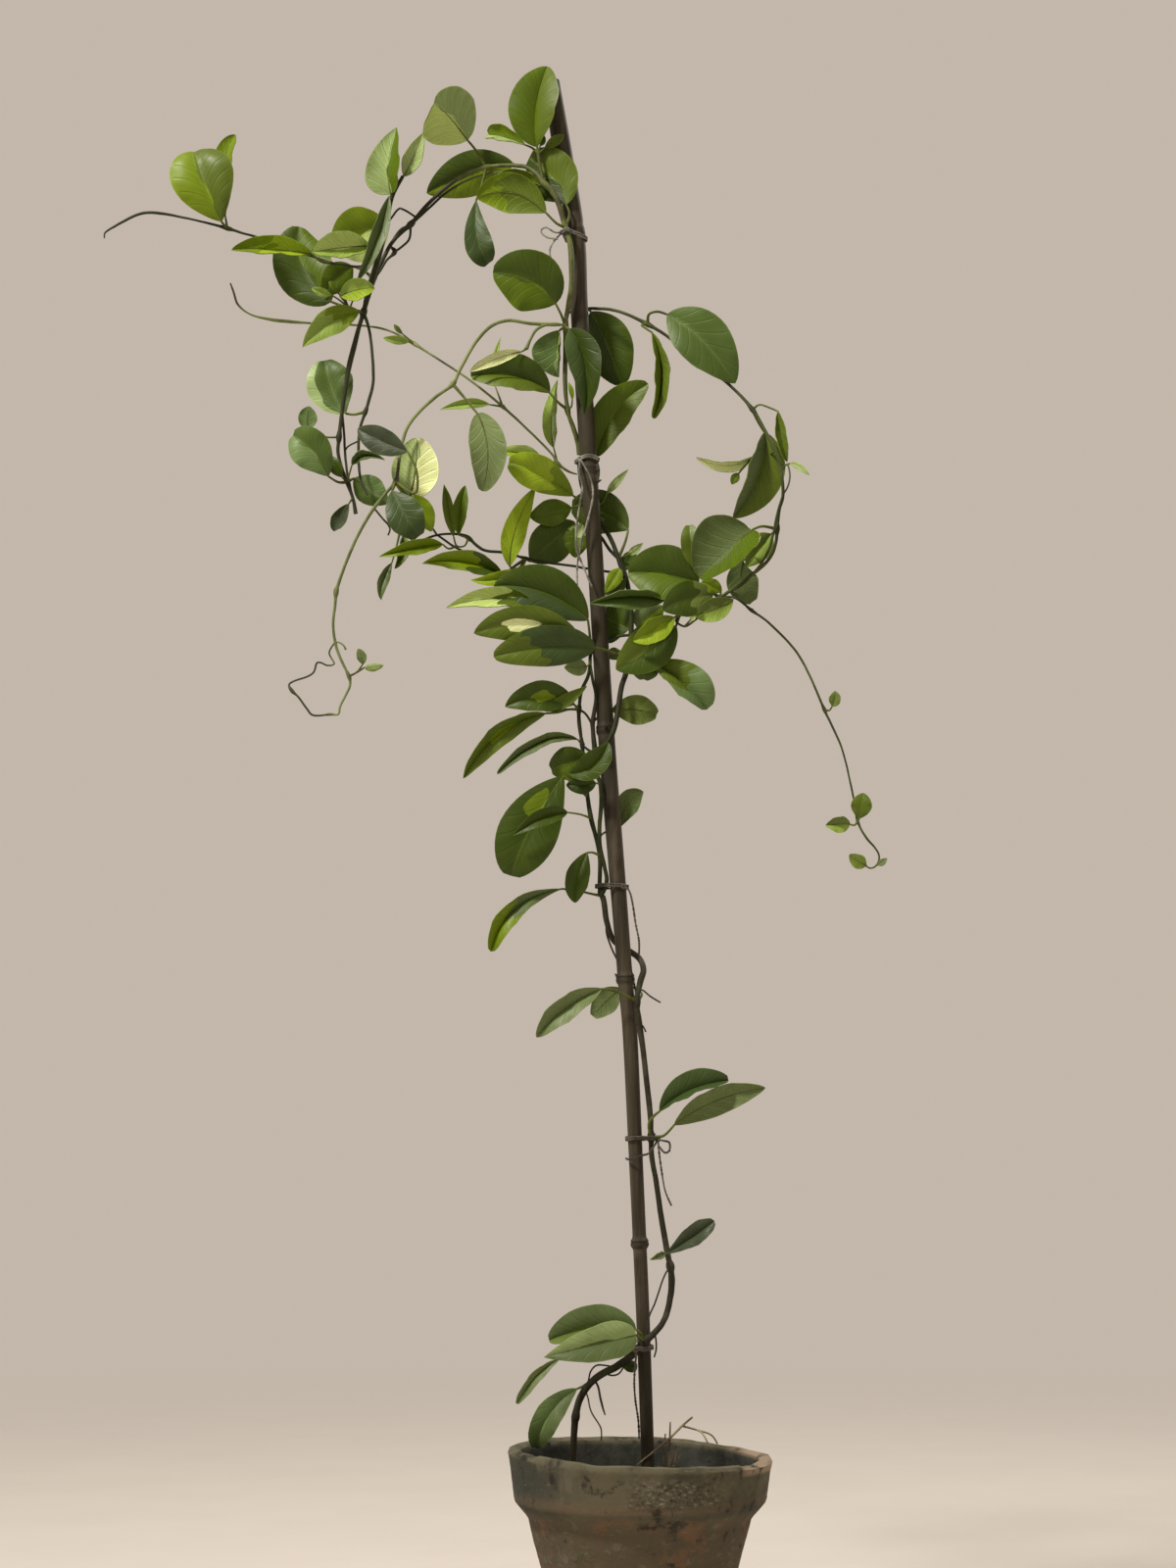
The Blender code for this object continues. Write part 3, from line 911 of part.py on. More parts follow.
def soil(group, cutters):
    top_radius = inside_radius(SOIL_TOP) - SOIL_CLEARANCE
    foot_radius = inside_radius(FLOOR_THICKNESS + GAP) - SOIL_CLEARANCE
    profile = (
        (0.0, SOIL_TOP + SOIL_MOUND),
        (0.35 * top_radius, SOIL_TOP + SOIL_MOUND * 0.8),
        (0.7 * top_radius, SOIL_TOP + SOIL_MOUND * 0.3),
        (top_radius, SOIL_TOP),
        (foot_radius, FLOOR_THICKNESS + GAP),
        (0.0, FLOOR_THICKNESS + GAP),
    )
    made = turned("soil", profile, POT_STEPS, group)
    luck = random.Random(5)
    for vert in made.data.vertices:
        if vert.co.z > SOIL_TOP + SOIL_CLEARANCE:
            vert.co.z += luck.uniform(-SOIL_LUMPS, SOIL_LUMPS)
    spots, radii = stake_spots()
    up = (spots[1] - spots[0]).normalized()
    hole = [spots[0] - up * HOLE_CLEARANCE, spots[0] + up * (STAKE_DEPTH + 30 * MM)]
    bore = radii[0] * OVER_EIGHT + HOLE_CLEARANCE
    cut(made, tube("stake_hole", hole, [bore, bore], 2, cutters))
    trunk = LOWER_ROUTES[0][:3]
    line = [spot(x, y, depth) for x, y, depth, _ in trunk]
    wide = [0.5 * row[3] * pixel_at(p) * OVER_SIX + HOLE_CLEARANCE for row, p in zip(trunk, line)]
    line[0] = line[0] - Vector((0, 0, HOLE_CLEARANCE))
    cut(made, tube("stem_hole", line, wide, 1, cutters))
    tuft = [spot(x, y, depth) for x, y, depth, _ in GRASS_ROUTES[0][-2:]]
    tuft_bore = 0.5 * GRASS_ROUTES[0][-1][3] * pixel_at(tuft[1]) * OVER_SIX + HOLE_CLEARANCE
    tuft[1] = tuft[1] - Vector((0, 0, HOLE_CLEARANCE))
    cut(made, tube("tuft_hole", tuft, [tuft_bore, tuft_bore], 1, cutters))
    made.data.materials.append(material("earth", (0.035, 0.024, 0.016), 1.0))
    return made


def crossings(routes, height, middle):
    """Where the stems pass a height close to the stake: middle and radius, the slant allowed for."""
    found = []
    for route in routes:
        points = [spot(x, y, depth) for x, y, depth, _ in route]
        radii = [0.5 * row[3] * pixel_at(p) for row, p in zip(route, points)]
        points = [off_the_stake(p, r) for p, r in zip(points, radii)]
        for a, b, r_a, r_b in zip(points, points[1:], radii, radii[1:]):
            if (a.z - height) * (b.z - height) > 0 or a.z == b.z:
                continue
            part = (height - a.z) / (b.z - a.z)
            place = a.lerp(b, part)
            slant = abs((b - a).normalized().z)
            if (place.xy - middle.xy).length < TIE_REACH:
                found.append((place, (r_a + (r_b - r_a) * part) / max(slant, 0.6)))
    return found


def hug(height, routes, clear):
    """The corners of a loop drawn tight round the stake and the stems beside it."""
    middle, radius = stake_at(height)
    circles = [(middle, radius)] + crossings(routes, height, middle)
    lines = []
    for k in range(TIE_CORNERS):
        angle = math.tau * k / TIE_CORNERS
        way = Vector((math.cos(angle), math.sin(angle)))
        lines.append((way, max(c.xy.dot(way) + r for c, r in circles) + clear))
    corners = []
    for (u, h), (v, g) in zip(lines, lines[1:] + lines[:1]):
        area = u.x * v.y - u.y * v.x
        corners.append(Vector(((h * v.y - g * u.y) / area, (g * u.x - h * v.x) / area, height)))
    return corners


def tie(name, row, routes, knot_x, ends, look, parts):
    """A string tied round stake and stem: a tight loop, a knot in front and the ends that hang."""
    height = spot(stake_x(row), row, 0).z
    corners = hug(height, routes, STRING_RADIUS * 1.2 + GAP)
    repeats = new_collection(name + "_repeats")
    loop = closed_tube(name, corners, STRING_RADIUS, parts)
    centre = sum(corners, Vector()) / len(corners)
    front = [c for c in corners if c.y < centre.y]
    knot = min(front, key=lambda c: abs(c.x - spot(knot_x, row, -10).x))
    knot = knot + (knot - centre).normalized() * (KNOT_RADIUS - STRING_RADIUS)
    bpy.ops.mesh.primitive_ico_sphere_add(subdivisions=1, radius=KNOT_RADIUS, location=knot)
    ball = bpy.context.object
    bpy.ops.object.transform_apply(location=True, rotation=True, scale=True)
    for owner in list(ball.users_collection):
        owner.objects.unlink(ball)
    repeats.objects.link(ball)
    for k, end in enumerate(ends):
        points = [knot] + [spot(x, y, depth) for x, y, depth in end]
        points = [points[0]] + [off_the_stake(p, STRING_RADIUS) for p in points[1:]]
        radii = [STRING_RADIUS] * len(points)
        tube(f"{name}_end_{k}", points, radii, 0, repeats)
    fuse(loop, repeats)
    loop.data.materials.clear()
    loop.data.materials.append(look)
    return loop


def stake_x(row):
    rows = stake_rows()
    for low, high in zip(rows, rows[1:]):
        if high[1] <= row <= low[1]:
            return low[0] + (high[0] - low[0]) * (low[1] - row) / (low[1] - high[1])
    return rows[-1][0]


def closed_tube(name, points, radius, group):
    """A ring of string through the points."""
    shape = bmesh.new()
    sides = 4
    rings = []
    for k, point in enumerate(points):
        along = (points[(k + 1) % len(points)] - points[k - 1]).normalized()
        out = along.cross(Vector((0, 0, 1))).normalized()
        ring = []
        for s in range(sides):
            angle = math.tau * s / sides
            spoke = out * math.cos(angle) + Vector((0, 0, math.sin(angle)))
            ring.append(shape.verts.new(point + spoke * radius))
        rings.append(ring)
    for k, ring in enumerate(rings):
        after = rings[(k + 1) % len(rings)]
        for s in range(sides):
            shape.faces.new((ring[s], ring[(s + 1) % sides], after[(s + 1) % sides], after[s]))
    bmesh.ops.recalc_face_normals(shape, faces=shape.faces)
    bmesh.ops.triangulate(shape, faces=shape.faces)
    mesh = bpy.data.meshes.new(name)
    shape.to_mesh(mesh)
    shape.free()
    return object_of(name, mesh, group)


def litter(name, routes, look, parts):
    """A dry stalk or a grass tuft, its stems fused where they spring from the first."""
    repeats = new_collection(name + "_repeats")
    trunk = stem_tube(name, routes[0], parts)
    for k, route in enumerate(routes[1:]):
        stem_tube(f"{name}_branch_{k}", route, repeats)
    fuse(trunk, repeats)
    trunk.data.materials.clear()
    trunk.data.materials.append(look)
    return trunk


def main():
    clear_the_scene()
    parts = new_collection("potted_golden_trumpet")
    cutters = new_collection("cutters")
    cutters.hide_render = True
    pot(parts, cutters)
    soil(parts, cutters)
    stake(parts)
    bark = material("bark", (0.16, 0.12, 0.08), 0.8)
    leaf_green = material("leaf_green", (0.075, 0.125, 0.030), 0.38)
    leafy_stem("lower_stem", LOWER_ROUTES, LOWER_LEAVES, bark, parts, 1)
    leafy_stem("middle_stems", MIDDLE_ROUTES, MIDDLE_LEAVES, leaf_green, parts, 2)
    leafy_stem("crown_stem", CROWN_ROUTES, CROWN_LEAVES, leaf_green, parts, 3)
    leafy_stem("pale_shoot", PALE_ROUTES, PALE_LEAVES, leaf_green, parts, 4)
    leafy_stem("thin_shoot", THIN_ROUTES, THIN_LEAVES, leaf_green, parts, 5)
    leafy_stem("right_loop", LOOP_ROUTES, LOOP_LEAVES, leaf_green, parts, 6)
    string = material("string", (0.10, 0.085, 0.065), 0.85)
    for name, row, routes, knot_x, ends in TIES:
        tie(name, row, routes, knot_x, ends, string, parts)
    straw = material("straw", (0.30, 0.22, 0.12), 0.85)
    litter("dry_stalk", STALK_ROUTES, straw, parts)
    litter("grass_tuft", GRASS_ROUTES, straw, parts)


main()
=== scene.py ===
import math
import random

import bpy
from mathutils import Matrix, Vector, noise


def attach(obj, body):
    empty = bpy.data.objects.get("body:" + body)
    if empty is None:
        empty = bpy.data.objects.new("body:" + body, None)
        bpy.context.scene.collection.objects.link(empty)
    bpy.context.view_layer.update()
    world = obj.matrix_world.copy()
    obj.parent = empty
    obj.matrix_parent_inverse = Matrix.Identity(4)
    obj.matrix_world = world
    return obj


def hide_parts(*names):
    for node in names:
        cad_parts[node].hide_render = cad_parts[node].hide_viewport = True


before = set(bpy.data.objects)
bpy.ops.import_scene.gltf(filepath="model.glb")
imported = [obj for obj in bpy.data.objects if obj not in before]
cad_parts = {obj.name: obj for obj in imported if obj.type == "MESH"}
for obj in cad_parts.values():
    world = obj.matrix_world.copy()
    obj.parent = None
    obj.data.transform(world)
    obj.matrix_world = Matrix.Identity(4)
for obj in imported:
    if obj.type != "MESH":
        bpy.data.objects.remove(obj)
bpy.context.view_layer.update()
scene = bpy.context.scene

# The camera stands low in front of the plant, a little to its left, and looks ten degrees up.
# Every stem and leaf below is placed by what it sees: a column and a row of its picture, and how
# many millimetres behind the pot's middle the point lies.
MM = 0.001
eye = Vector((-0.0394, -1.7961, 0.3821))
tilt = math.radians(10)
focal_pixels = 2311
middle_column, middle_row = 600, 800
lens = bpy.data.cameras.new("view")
lens.sensor_width = 36
lens.lens = 52
viewer = bpy.data.objects.new("view", lens)
viewer.location = eye
viewer.rotation_euler = (math.pi / 2 + tilt, 0, 0)
scene.collection.objects.link(viewer)
scene.camera = viewer


def spot(column, row, depth):
    """The point seen at a column and a row of the picture, at this depth."""
    across = (column - middle_column) / focal_pixels
    up = (middle_row - row) / focal_pixels
    ray = Vector((across, math.cos(tilt) - up * math.sin(tilt), math.sin(tilt) + up * math.cos(tilt)))
    return eye + ray * ((depth * MM - eye.y) / ray.y)


def pixel_at(point):
    """How wide a pixel of the picture is at a point."""
    return (point - eye).dot(Vector((0, math.cos(tilt), math.sin(tilt)))) / focal_pixels


# The pot is thrown from coarse clay: a tapered body, a deep collar with a chipped, uneven lip, and
# three drain holes. Years outdoors have left it grey-brown, with moss, scratches and bare patches.
pot_height = 0.180
collar_height = 0.034
lip_start = 0.170
lip_height = 0.010
rim_slope = 0.036
drain_holes = 3
drain_radius = 0.0045
drain_circle = 0.03
chip_circle = 0.0995
pot_profile = (
    (0.0200, 0.0000), (0.0510, 0.0000), (0.0526, 0.0012), (0.0533, 0.0040), (0.0692, 0.0730),
    (0.0828, 0.1240), (0.0846, 0.1320), (0.0868, 0.1350), (0.0925, 0.1410), (0.0955, 0.1445),
    (0.0964, 0.1475), (0.0975, 0.1560), (0.0995, 0.1690), (0.1012, 0.1765), (0.1000, 0.1792),
    (0.0975, 0.1802), (0.0940, 0.1796), (0.0912, 0.1778), (0.0902, 0.1740), (0.0897, 0.1590),
    (0.0780, 0.1500), (0.0632, 0.0900), (0.0445, 0.0112), (0.0425, 0.0100), (0.0200, 0.0100),
)
# Each chip of the lip: its bearing, its height, and its depth, width and fall.
rim_chips = (
    (-168, 0.1885, (0.012, 0.016, 0.0065)), (-146, 0.1850, (0.007, 0.009, 0.0040)),
    (-30, 0.1800, (0.010, 0.026, 0.0060)), (8, 0.1820, (0.010, 0.016, 0.0050)),
    (64, 0.1850, (0.006, 0.012, 0.0045)), (-80, 0.1845, (0.005, 0.008, 0.0040)),
    (150, 0.1870, (0.006, 0.010, 0.0040)),
)


class Shade:
    """A socket of a shader tree that takes part in plain arithmetic."""

    def __init__(self, tree, socket=None):
        self.tree = tree
        self.socket = socket

    def out(self, kind, settings=None, output=0, **values):
        """An output of a new node: its settings, then what feeds its sockets by name or number."""
        made = self.tree.nodes.new(kind)
        for key, value in (settings or {}).items():
            setattr(made, key, value)
        for key, value in values.items():
            key = int(key[1:]) if key[1:].isdigit() else key.replace("_", " ")
            if isinstance(value, Shade):
                self.tree.links.new(value.socket, made.inputs[key])
            else:
                made.inputs[key].default_value = value
        return Shade(self.tree, made.outputs[output])

    def math(self, operation, a, b=0.0):
        return self.out("ShaderNodeMath", {"operation": operation}, i0=a, i1=b)

    def __add__(self, other):
        return self.math("ADD", self, other)

    __radd__ = __add__

    def __sub__(self, other):
        return self.math("SUBTRACT", self, other)

    def __rsub__(self, other):
        return self.math("SUBTRACT", other, self)

    def __mul__(self, other):
        return self.math("MULTIPLY", self, other)

    __rmul__ = __mul__

    def step(self, low, high):
        """0 below low, 1 above high and smooth between."""
        settings = {"interpolation_type": "SMOOTHSTEP"}
        return self.out("ShaderNodeMapRange", settings, Value=self, From_Min=low, From_Max=high)

    def within(self, rise, full, fall, gone):
        """0 below rise, 1 from full to fall, and 0 again past gone."""
        return self.step(rise, full) * (1 - self.step(fall, gone))

    def blend(self, first, second):
        """first where this is 0 and second where it is 1, as colours."""
        first, second = ((*c, 1) if isinstance(c, tuple) else c for c in (first, second))
        return self.out("ShaderNodeMix", {"data_type": "RGBA"}, output=2, i0=self, i6=first, i7=second)

    def coated(self, *coats):
        """This colour with coats laid over it in turn: a share and a colour each."""
        colour = self
        for share, paint in coats:
            colour = share.blend(colour, paint)
        return colour

    def stretched(self, scale, shift=(0, 0, 0)):
        return self.out("ShaderNodeMapping", Vector=self, Scale=scale, Location=shift)

    def moved(self, *shift):
        return self.stretched((1, 1, 1), shift)

    def part(self, axis):
        return self.out("ShaderNodeSeparateXYZ", output="XYZ".index(axis), Vector=self)

    def cloud(self, scale, detail=4.0, roughness=0.55):
        return self.out("ShaderNodeTexNoise", Vector=self, Scale=scale, Detail=detail, Roughness=roughness)

    def cells(self, scale, feature="F1"):
        return self.out("ShaderNodeTexVoronoi", {"feature": feature}, Vector=self, Scale=scale)


def finish(name, **fixed):
    """A new material, its shader with constant sockets set, and the place of a point on the piece."""
    made = bpy.data.materials.new(name)
    made.use_nodes = True
    shader = made.node_tree.nodes["Principled BSDF"]
    for key, value in fixed.items():
        shader.inputs[key.replace("_", " ")].default_value = value
    return made, shader, Shade(made.node_tree).out("ShaderNodeTexCoord", output=3)


def feed(shader, **values):
    for key, value in values.items():
        value.tree.links.new(value.socket, shader.inputs[key.replace("_", " ")])


def bumpy(shader, height, strength, distance):
    """Feeds the shader's Normal with a relief of the height."""
    feed(shader, Normal=height.out("ShaderNodeBump", Strength=strength, Distance=distance, Height=height))


def alone():
    bpy.ops.object.select_all(action="DESELECT")


def pick(*things):
    alone()
    for thing in things:
        thing.select_set(True)
    bpy.context.view_layer.objects.active = things[0]


def apply_all(thing):
    pick(thing)
    for modifier in list(thing.modifiers):
        bpy.ops.object.modifier_apply(modifier=modifier.name)


def settle(*things):
    """Puts the things' places, turns and sizes into their meshes."""
    pick(*things)
    bpy.ops.object.transform_apply(location=True, rotation=True, scale=True)
    return things[0]


def joined(name, *things):
    pick(*things)
    bpy.ops.object.join()
    made = bpy.context.object
    made.name = made.data.name = name
    return made


def rounded(thing, degrees):
    """Shades the thing smooth, apart from edges that turn by more than this."""
    pick(thing)
    bpy.ops.object.shade_smooth_by_angle(angle=math.radians(degrees))


def filled_in(profile, step):
    """The profile with points put in wherever two are further apart than step."""
    rows = [profile[0]]
    for (r0, h0), (r1, h1) in zip(profile, profile[1:]):
        count = max(1, round(math.hypot(r1 - r0, h1 - h0) / step))
        rows += [(r0 + (r1 - r0) * k / count, h0 + (h1 - h0) * k / count) for k in range(1, count + 1)]
    return rows


def thrown(name, profile, sides):
    """A round shape raised ring by ring, as on a wheel, from its middle below to its middle above."""
    alone()
    radius, height = profile[0]
    bpy.ops.mesh.primitive_circle_add(
        vertices=sides, radius=radius, fill_type="TRIFAN", location=(0, 0, height)
    )
    made = settle(bpy.context.object)
    made.name = name
    bpy.ops.object.mode_set(mode="EDIT")
    bpy.ops.mesh.select_all(action="DESELECT")
    bpy.ops.object.mode_set(mode="OBJECT")
    for vert in made.data.vertices:
        vert.select = vert.co.xy.length > 0.5 * radius
    for edge in made.data.edges:
        edge.select = all(made.data.vertices[k].select for k in edge.vertices)
    bpy.ops.object.mode_set(mode="EDIT")
    bpy.ops.mesh.select_mode(type="EDGE")
    for (r0, h0), (r1, h1) in zip(profile, profile[1:]):
        bpy.ops.mesh.extrude_region_move(TRANSFORM_OT_translate={"value": (0, 0, h1 - h0)})
        bpy.ops.transform.resize(value=(r1 / r0, r1 / r0, 1), center_override=(0, 0, h1))
    bpy.ops.mesh.extrude_region_move()
    bpy.ops.mesh.merge(type="CENTER")
    bpy.ops.mesh.select_all(action="SELECT")
    bpy.ops.mesh.normals_make_consistent(inside=False)
    bpy.ops.object.mode_set(mode="OBJECT")
    return made


pot = thrown("clay_pot", filled_in(pot_profile, 0.0030), 176)
for hole in range(drain_holes):
    away = math.tau * (hole + 0.25) / drain_holes
    middle = (drain_circle * math.cos(away), drain_circle * math.sin(away), 0.005)
    alone()
    bpy.ops.mesh.primitive_cylinder_add(vertices=24, radius=drain_radius, depth=0.03, location=middle)
    drill = settle(bpy.context.object)
    bore = pot.modifiers.new("bore", "BOOLEAN")
    bore.operation = "DIFFERENCE"
    bore.object = drill
    apply_all(pot)
    bpy.data.objects.remove(drill)
chips = []
for bearing, height, size in rim_chips:
    away = math.radians(bearing)
    middle = Vector((chip_circle * math.cos(away), chip_circle * math.sin(away), height))
    chips.append((middle, Vector((math.cos(away), math.sin(away), 0)), size))
for vert in pot.data.vertices:
    place = vert.co.copy()
    out = Vector((place.x, place.y, 0)).normalized()
    if place.z > 0.0005:
        swell = noise.noise(place * 9) * 0.0011 + noise.noise(place * 34) * 0.0006
        swell += noise.noise(Vector((place.x * 40, place.y * 40, place.z * 260))) * 0.00022
        vert.co += out * swell * min(1, place.z / 0.01)
    high = max(0.0, (place.z - (pot_height - collar_height)) / collar_height)
    vert.co.z -= rim_slope * place.x * high
    lip = max(0.0, (place.z - lip_start) / lip_height)
    vert.co.z += (noise.noise(place * 26) * 0.0016 + noise.noise(place * 80) * 0.0007) * lip
    for middle, face, (deep, wide, tall) in chips:
        gap = vert.co - middle
        side = Vector((-face.y, face.x, 0))
        inside = (gap.dot(face) / deep) ** 2 + (gap.dot(side) / wide) ** 2 + (gap.z / tall) ** 2
        if inside < 1:
            rough = 1 + 0.35 * noise.noise(place * 190)
            vert.co.z -= tall * (1 - inside) ** 0.6 * 0.8 * rough
rounded(pot, 40)

clay, shader, place = finish("weathered_clay", Roughness=0.93, Specular_IOR_Level=0.25)
across, facing, height_in = place.part("X"), place.part("Y"), place.part("Z")
level = height_in + across * height_in.step(0.146, pot_height) * rim_slope
flat_place = place.stretched((1, 1, 0))
from_axis = place.out("ShaderNodeVectorMath", {"operation": "LENGTH"}, output=1, i0=flat_place)
broad = place.cloud(13, 6, 0.62)
mottle = place.cloud(52, 8, 0.68)
grit = place.cloud(420, 5, 0.7)
runs = place.stretched((60, 60, 14)).cloud(1.0, 5, 0.6)
scratches = place.stretched((1, 1, 7), (0.3, 0.1, 0)).cloud(44, 9, 0.82)
slate = (1 - across.step(-0.080, -0.030)) * place.moved(1.3, 0, 0).cloud(19, 5).step(0.40, 0.56)
band = level.within(0.143, 0.147, 0.149, 0.156) * broad.step(0.35, 0.5)
on_body = 1 - level.step(0.138, 0.144)
orange = place.moved(0, 1.4, 2.3).cloud(24, 6, 0.66).step(0.50, 0.60)
flakes = place.cells(95).step(0.42, 0.30) * mottle.step(0.46, 0.56)
moss = place.moved(2.1, 0, 0.7).cloud(17, 6, 0.66).step(0.52, 0.64) * mottle.step(0.38, 0.6)
worn = across.within(-0.018, 0.000, 0.048, 0.064) * (1 - facing.step(-0.075, -0.065))
worn = worn * level.within(0.148, 0.153, 0.166, 0.173)
nicks = place.stretched((1, 1, 1.6), (0.4, 0, 0.2)).cloud(230, 5, 0.75)
lip = level.step(0.1745, 0.1772)
broken = level.step(0.1700, 0.1735) * across.step(0.068, 0.084)
inner_wall = height_in * 0.243 + 0.0468 + height_in.step(0.149, 0.153) * 0.0070
hollow = (inner_wall - from_axis).step(-0.0006, 0.0008) * (1 - level.step(0.1735, 0.1775))
inner_clay = mottle.step(0.4, 0.6).blend((0.030, 0.032, 0.026), (0.056, 0.057, 0.046))
colour = broad.step(0.38, 0.64).blend((0.050, 0.046, 0.031), (0.100, 0.086, 0.052)).coated(
    (mottle.step(0.50, 0.70) * 0.7, (0.125, 0.103, 0.068)),
    (slate * 0.7, (0.034, 0.038, 0.031)),
    (band * 0.6, (0.120, 0.083, 0.050)),
    (on_body * 0.7, (0.096, 0.073, 0.043)),
    (on_body * orange * 0.7, (0.165, 0.087, 0.045)),
    (on_body * flakes * 0.55, (0.135, 0.118, 0.080)),
    (mottle.step(0.43, 0.34) * 0.8, (0.018, 0.016, 0.012)),
    (moss * 0.6, (0.048, 0.054, 0.024)),
    (runs.step(0.60, 0.72) * 0.35, (0.150, 0.130, 0.090)),
    (scratches.step(0.600, 0.615) * 0.5, (0.190, 0.168, 0.120)),
    (worn * nicks.step(0.47, 0.40) * 0.75, (0.016, 0.014, 0.010)),
    (worn * nicks.step(0.56, 0.60) * 0.8, (0.235, 0.215, 0.165)),
    (lip * mottle.step(0.36, 0.56) * 0.8, (0.118, 0.108, 0.066)),
    (broken * mottle.step(0.36, 0.50), (0.260, 0.195, 0.135)),
    (hollow, inner_clay),
)
feed(shader, Base_Color=colour)
pits = place.cells(150).step(0.0, 0.35)
relief = mottle * 0.6 + grit * 0.2 + pits * 0.15 + worn * nicks * 1.2 + on_body * flakes * 0.3
bumpy(shader, relief, 0.8, 0.0018)
pot.data.materials.append(clay)
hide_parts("pot")
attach(pot, "root")

# The soil fills the pot to two fingers' width under the lip: dark crumbly earth, a little raised in
# the middle, strewn with crumbs, bits of bark and grit.
soil_top = 0.145
mound_height = 0.0034
crumb_count = 420
crumb_sizes = (0.0007, 0.0010, 0.0014, 0.0021)
mouth_radius = 0.0735
soil_profile = (
    (0.012, 0.0104), (0.0422, 0.0104), (0.0450, 0.0200), (0.0742, 0.1400), (0.0755, soil_top),
    (0.0690, soil_top + 0.0006), (0.0500, soil_top + 0.0016), (0.0250, soil_top + 0.0028),
    (0.006, soil_top + mound_height),
)
soil = thrown("soil_bed", filled_in(soil_profile, 0.0032), 96)
for vert in soil.data.vertices:
    place = vert.co.copy()
    if place.z > soil_top - 0.0005:
        vert.co.z += noise.noise(place * 90) * 0.0012 + noise.noise(place * 240) * 0.0008
luck = random.Random(11)
alone()
bpy.ops.mesh.primitive_ico_sphere_add(subdivisions=1, radius=1)
crumb = bpy.context.object
crumbs = []
for _ in range(crumb_count):
    radius = mouth_radius * math.sqrt(luck.random())
    away = luck.uniform(0, math.tau)
    size = luck.choice(crumb_sizes)
    bit = crumb.copy()
    bit.data = crumb.data.copy()
    scene.collection.objects.link(bit)
    for vert in bit.data.vertices:
        vert.co *= luck.uniform(0.6, 1.15)
    bit.scale = (size * luck.uniform(0.8, 1.7), size, size * luck.uniform(0.5, 0.9))
    bit.rotation_euler = (luck.uniform(-0.4, 0.4), luck.uniform(-0.4, 0.4), luck.uniform(0, math.tau))
    mound = mound_height * (1 - (radius / 0.076) ** 1.3)
    bit.location = (radius * math.cos(away), radius * math.sin(away), soil_top + mound + size * 0.25)
    crumbs.append(bit)
bpy.data.objects.remove(crumb)
settle(*crumbs)
soil = joined("soil_bed", soil, *crumbs)
earth, shader, place = finish("potting_soil", Roughness=1.0, Specular_IOR_Level=0.15)
lumps = place.cloud(160, 8, 0.7)
colour = lumps.step(0.35, 0.68).blend((0.010, 0.007, 0.005), (0.048, 0.032, 0.020))
colour = (place.cells(330).step(0.16, 0.08) * 0.8).blend(colour, (0.150, 0.110, 0.070))
feed(shader, Base_Color=colour)
bumpy(shader, lumps + place.cloud(700, 4) * 0.4, 0.9, 0.0015)
soil.data.materials.append(earth)
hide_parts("soil")
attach(soil, "root")

# The cane is one dark bamboo pole, its thick end up and its thin end pushed into the soil. It
# leans to the left, bends a little, and keeps a ring, a sheath scar and a dead bud at each joint.
# Its line's points, each a column, a row and a width in pixels.
stake_line = (
    (661.3, 1500, 13.4), (658, 1400, 13.6), (655, 1320, 14.0), (649.5, 1200, 14.2), (643.2, 1060, 15.0),
    (638, 998, 15.4), (628, 870, 16.8), (618, 742, 17.0), (608, 580, 16.4), (602.4, 500, 16.8),
    (597.6, 424, 17.6), (590.8, 309, 18.2), (587.5, 240, 18.6), (573.2, 150, 19.0), (562.2, 84, 17.8),
)
# Each joint's row and how far it swells, and the shape of a joint by rows below its middle.
stake_joints = ((1268, 2.0), (998, 1.5), (744, 1.1), (480, 0.7), (237, 0.5))
cane_joint = (
    (8, 0.00), (6.2, 0.03), (5.0, 0.09), (3.6, 0.15), (1.8, 0.18), (0.6, 0.17), (-0.2, 0.12),
    (-1.2, 0.16), (-2.6, 0.14), (-3.9, 0.08), (-5.2, 0.02), (-8, 0.00),
)
stake_depth = 0.100
cane_buds = (
    (646, 1268, (-1, -0.4, 0.9), 0.0016), (630, 997, (-1, -0.3, 1.0), 0.0022),
    (617.5, 745, (0, -1, 0.25), 0.0026), (626, 743, (1, -0.3, 0.8), 0.0018),
    (612, 472, (1, -0.4, 0.9), 0.0024), (611, 482, (1, -0.5, 0.5), 0.0020),
    (612, 492, (1, -0.4, 0.2), 0.0022), (577.5, 238, (-1, -0.5, 0.9), 0.0020),
)


def between(rows, row):
    """The stake's column and width at a row of the picture."""
    for low, high in zip(rows, rows[1:]):
        if high[1] <= row <= low[1]:
            part = (low[1] - row) / (low[1] - high[1])
            return low[0] + (high[0] - low[0]) * part, low[2] + (high[2] - low[2]) * part
    return rows[-1][0], rows[-1][2]


def smoothed(rows, steps):
    """Rows of numbers on a curve through the given rows, steps to each span."""
    made = []
    for k in range(len(rows) - 1):
        before, a, b, after = rows[max(k - 1, 0)], rows[k], rows[k + 1], rows[min(k + 2, len(rows) - 1)]
        for s in range(steps):
            t = s / steps
            made.append(tuple(
                0.5 * (2 * q + (r - p) * t + (2 * p - 5 * q + 4 * r - w) * t * t
                       + (3 * q - p - 3 * r + w) * t**3)
                for p, q, r, w in zip(before, a, b, after)
            ))
    return made + [tuple(rows[-1])]


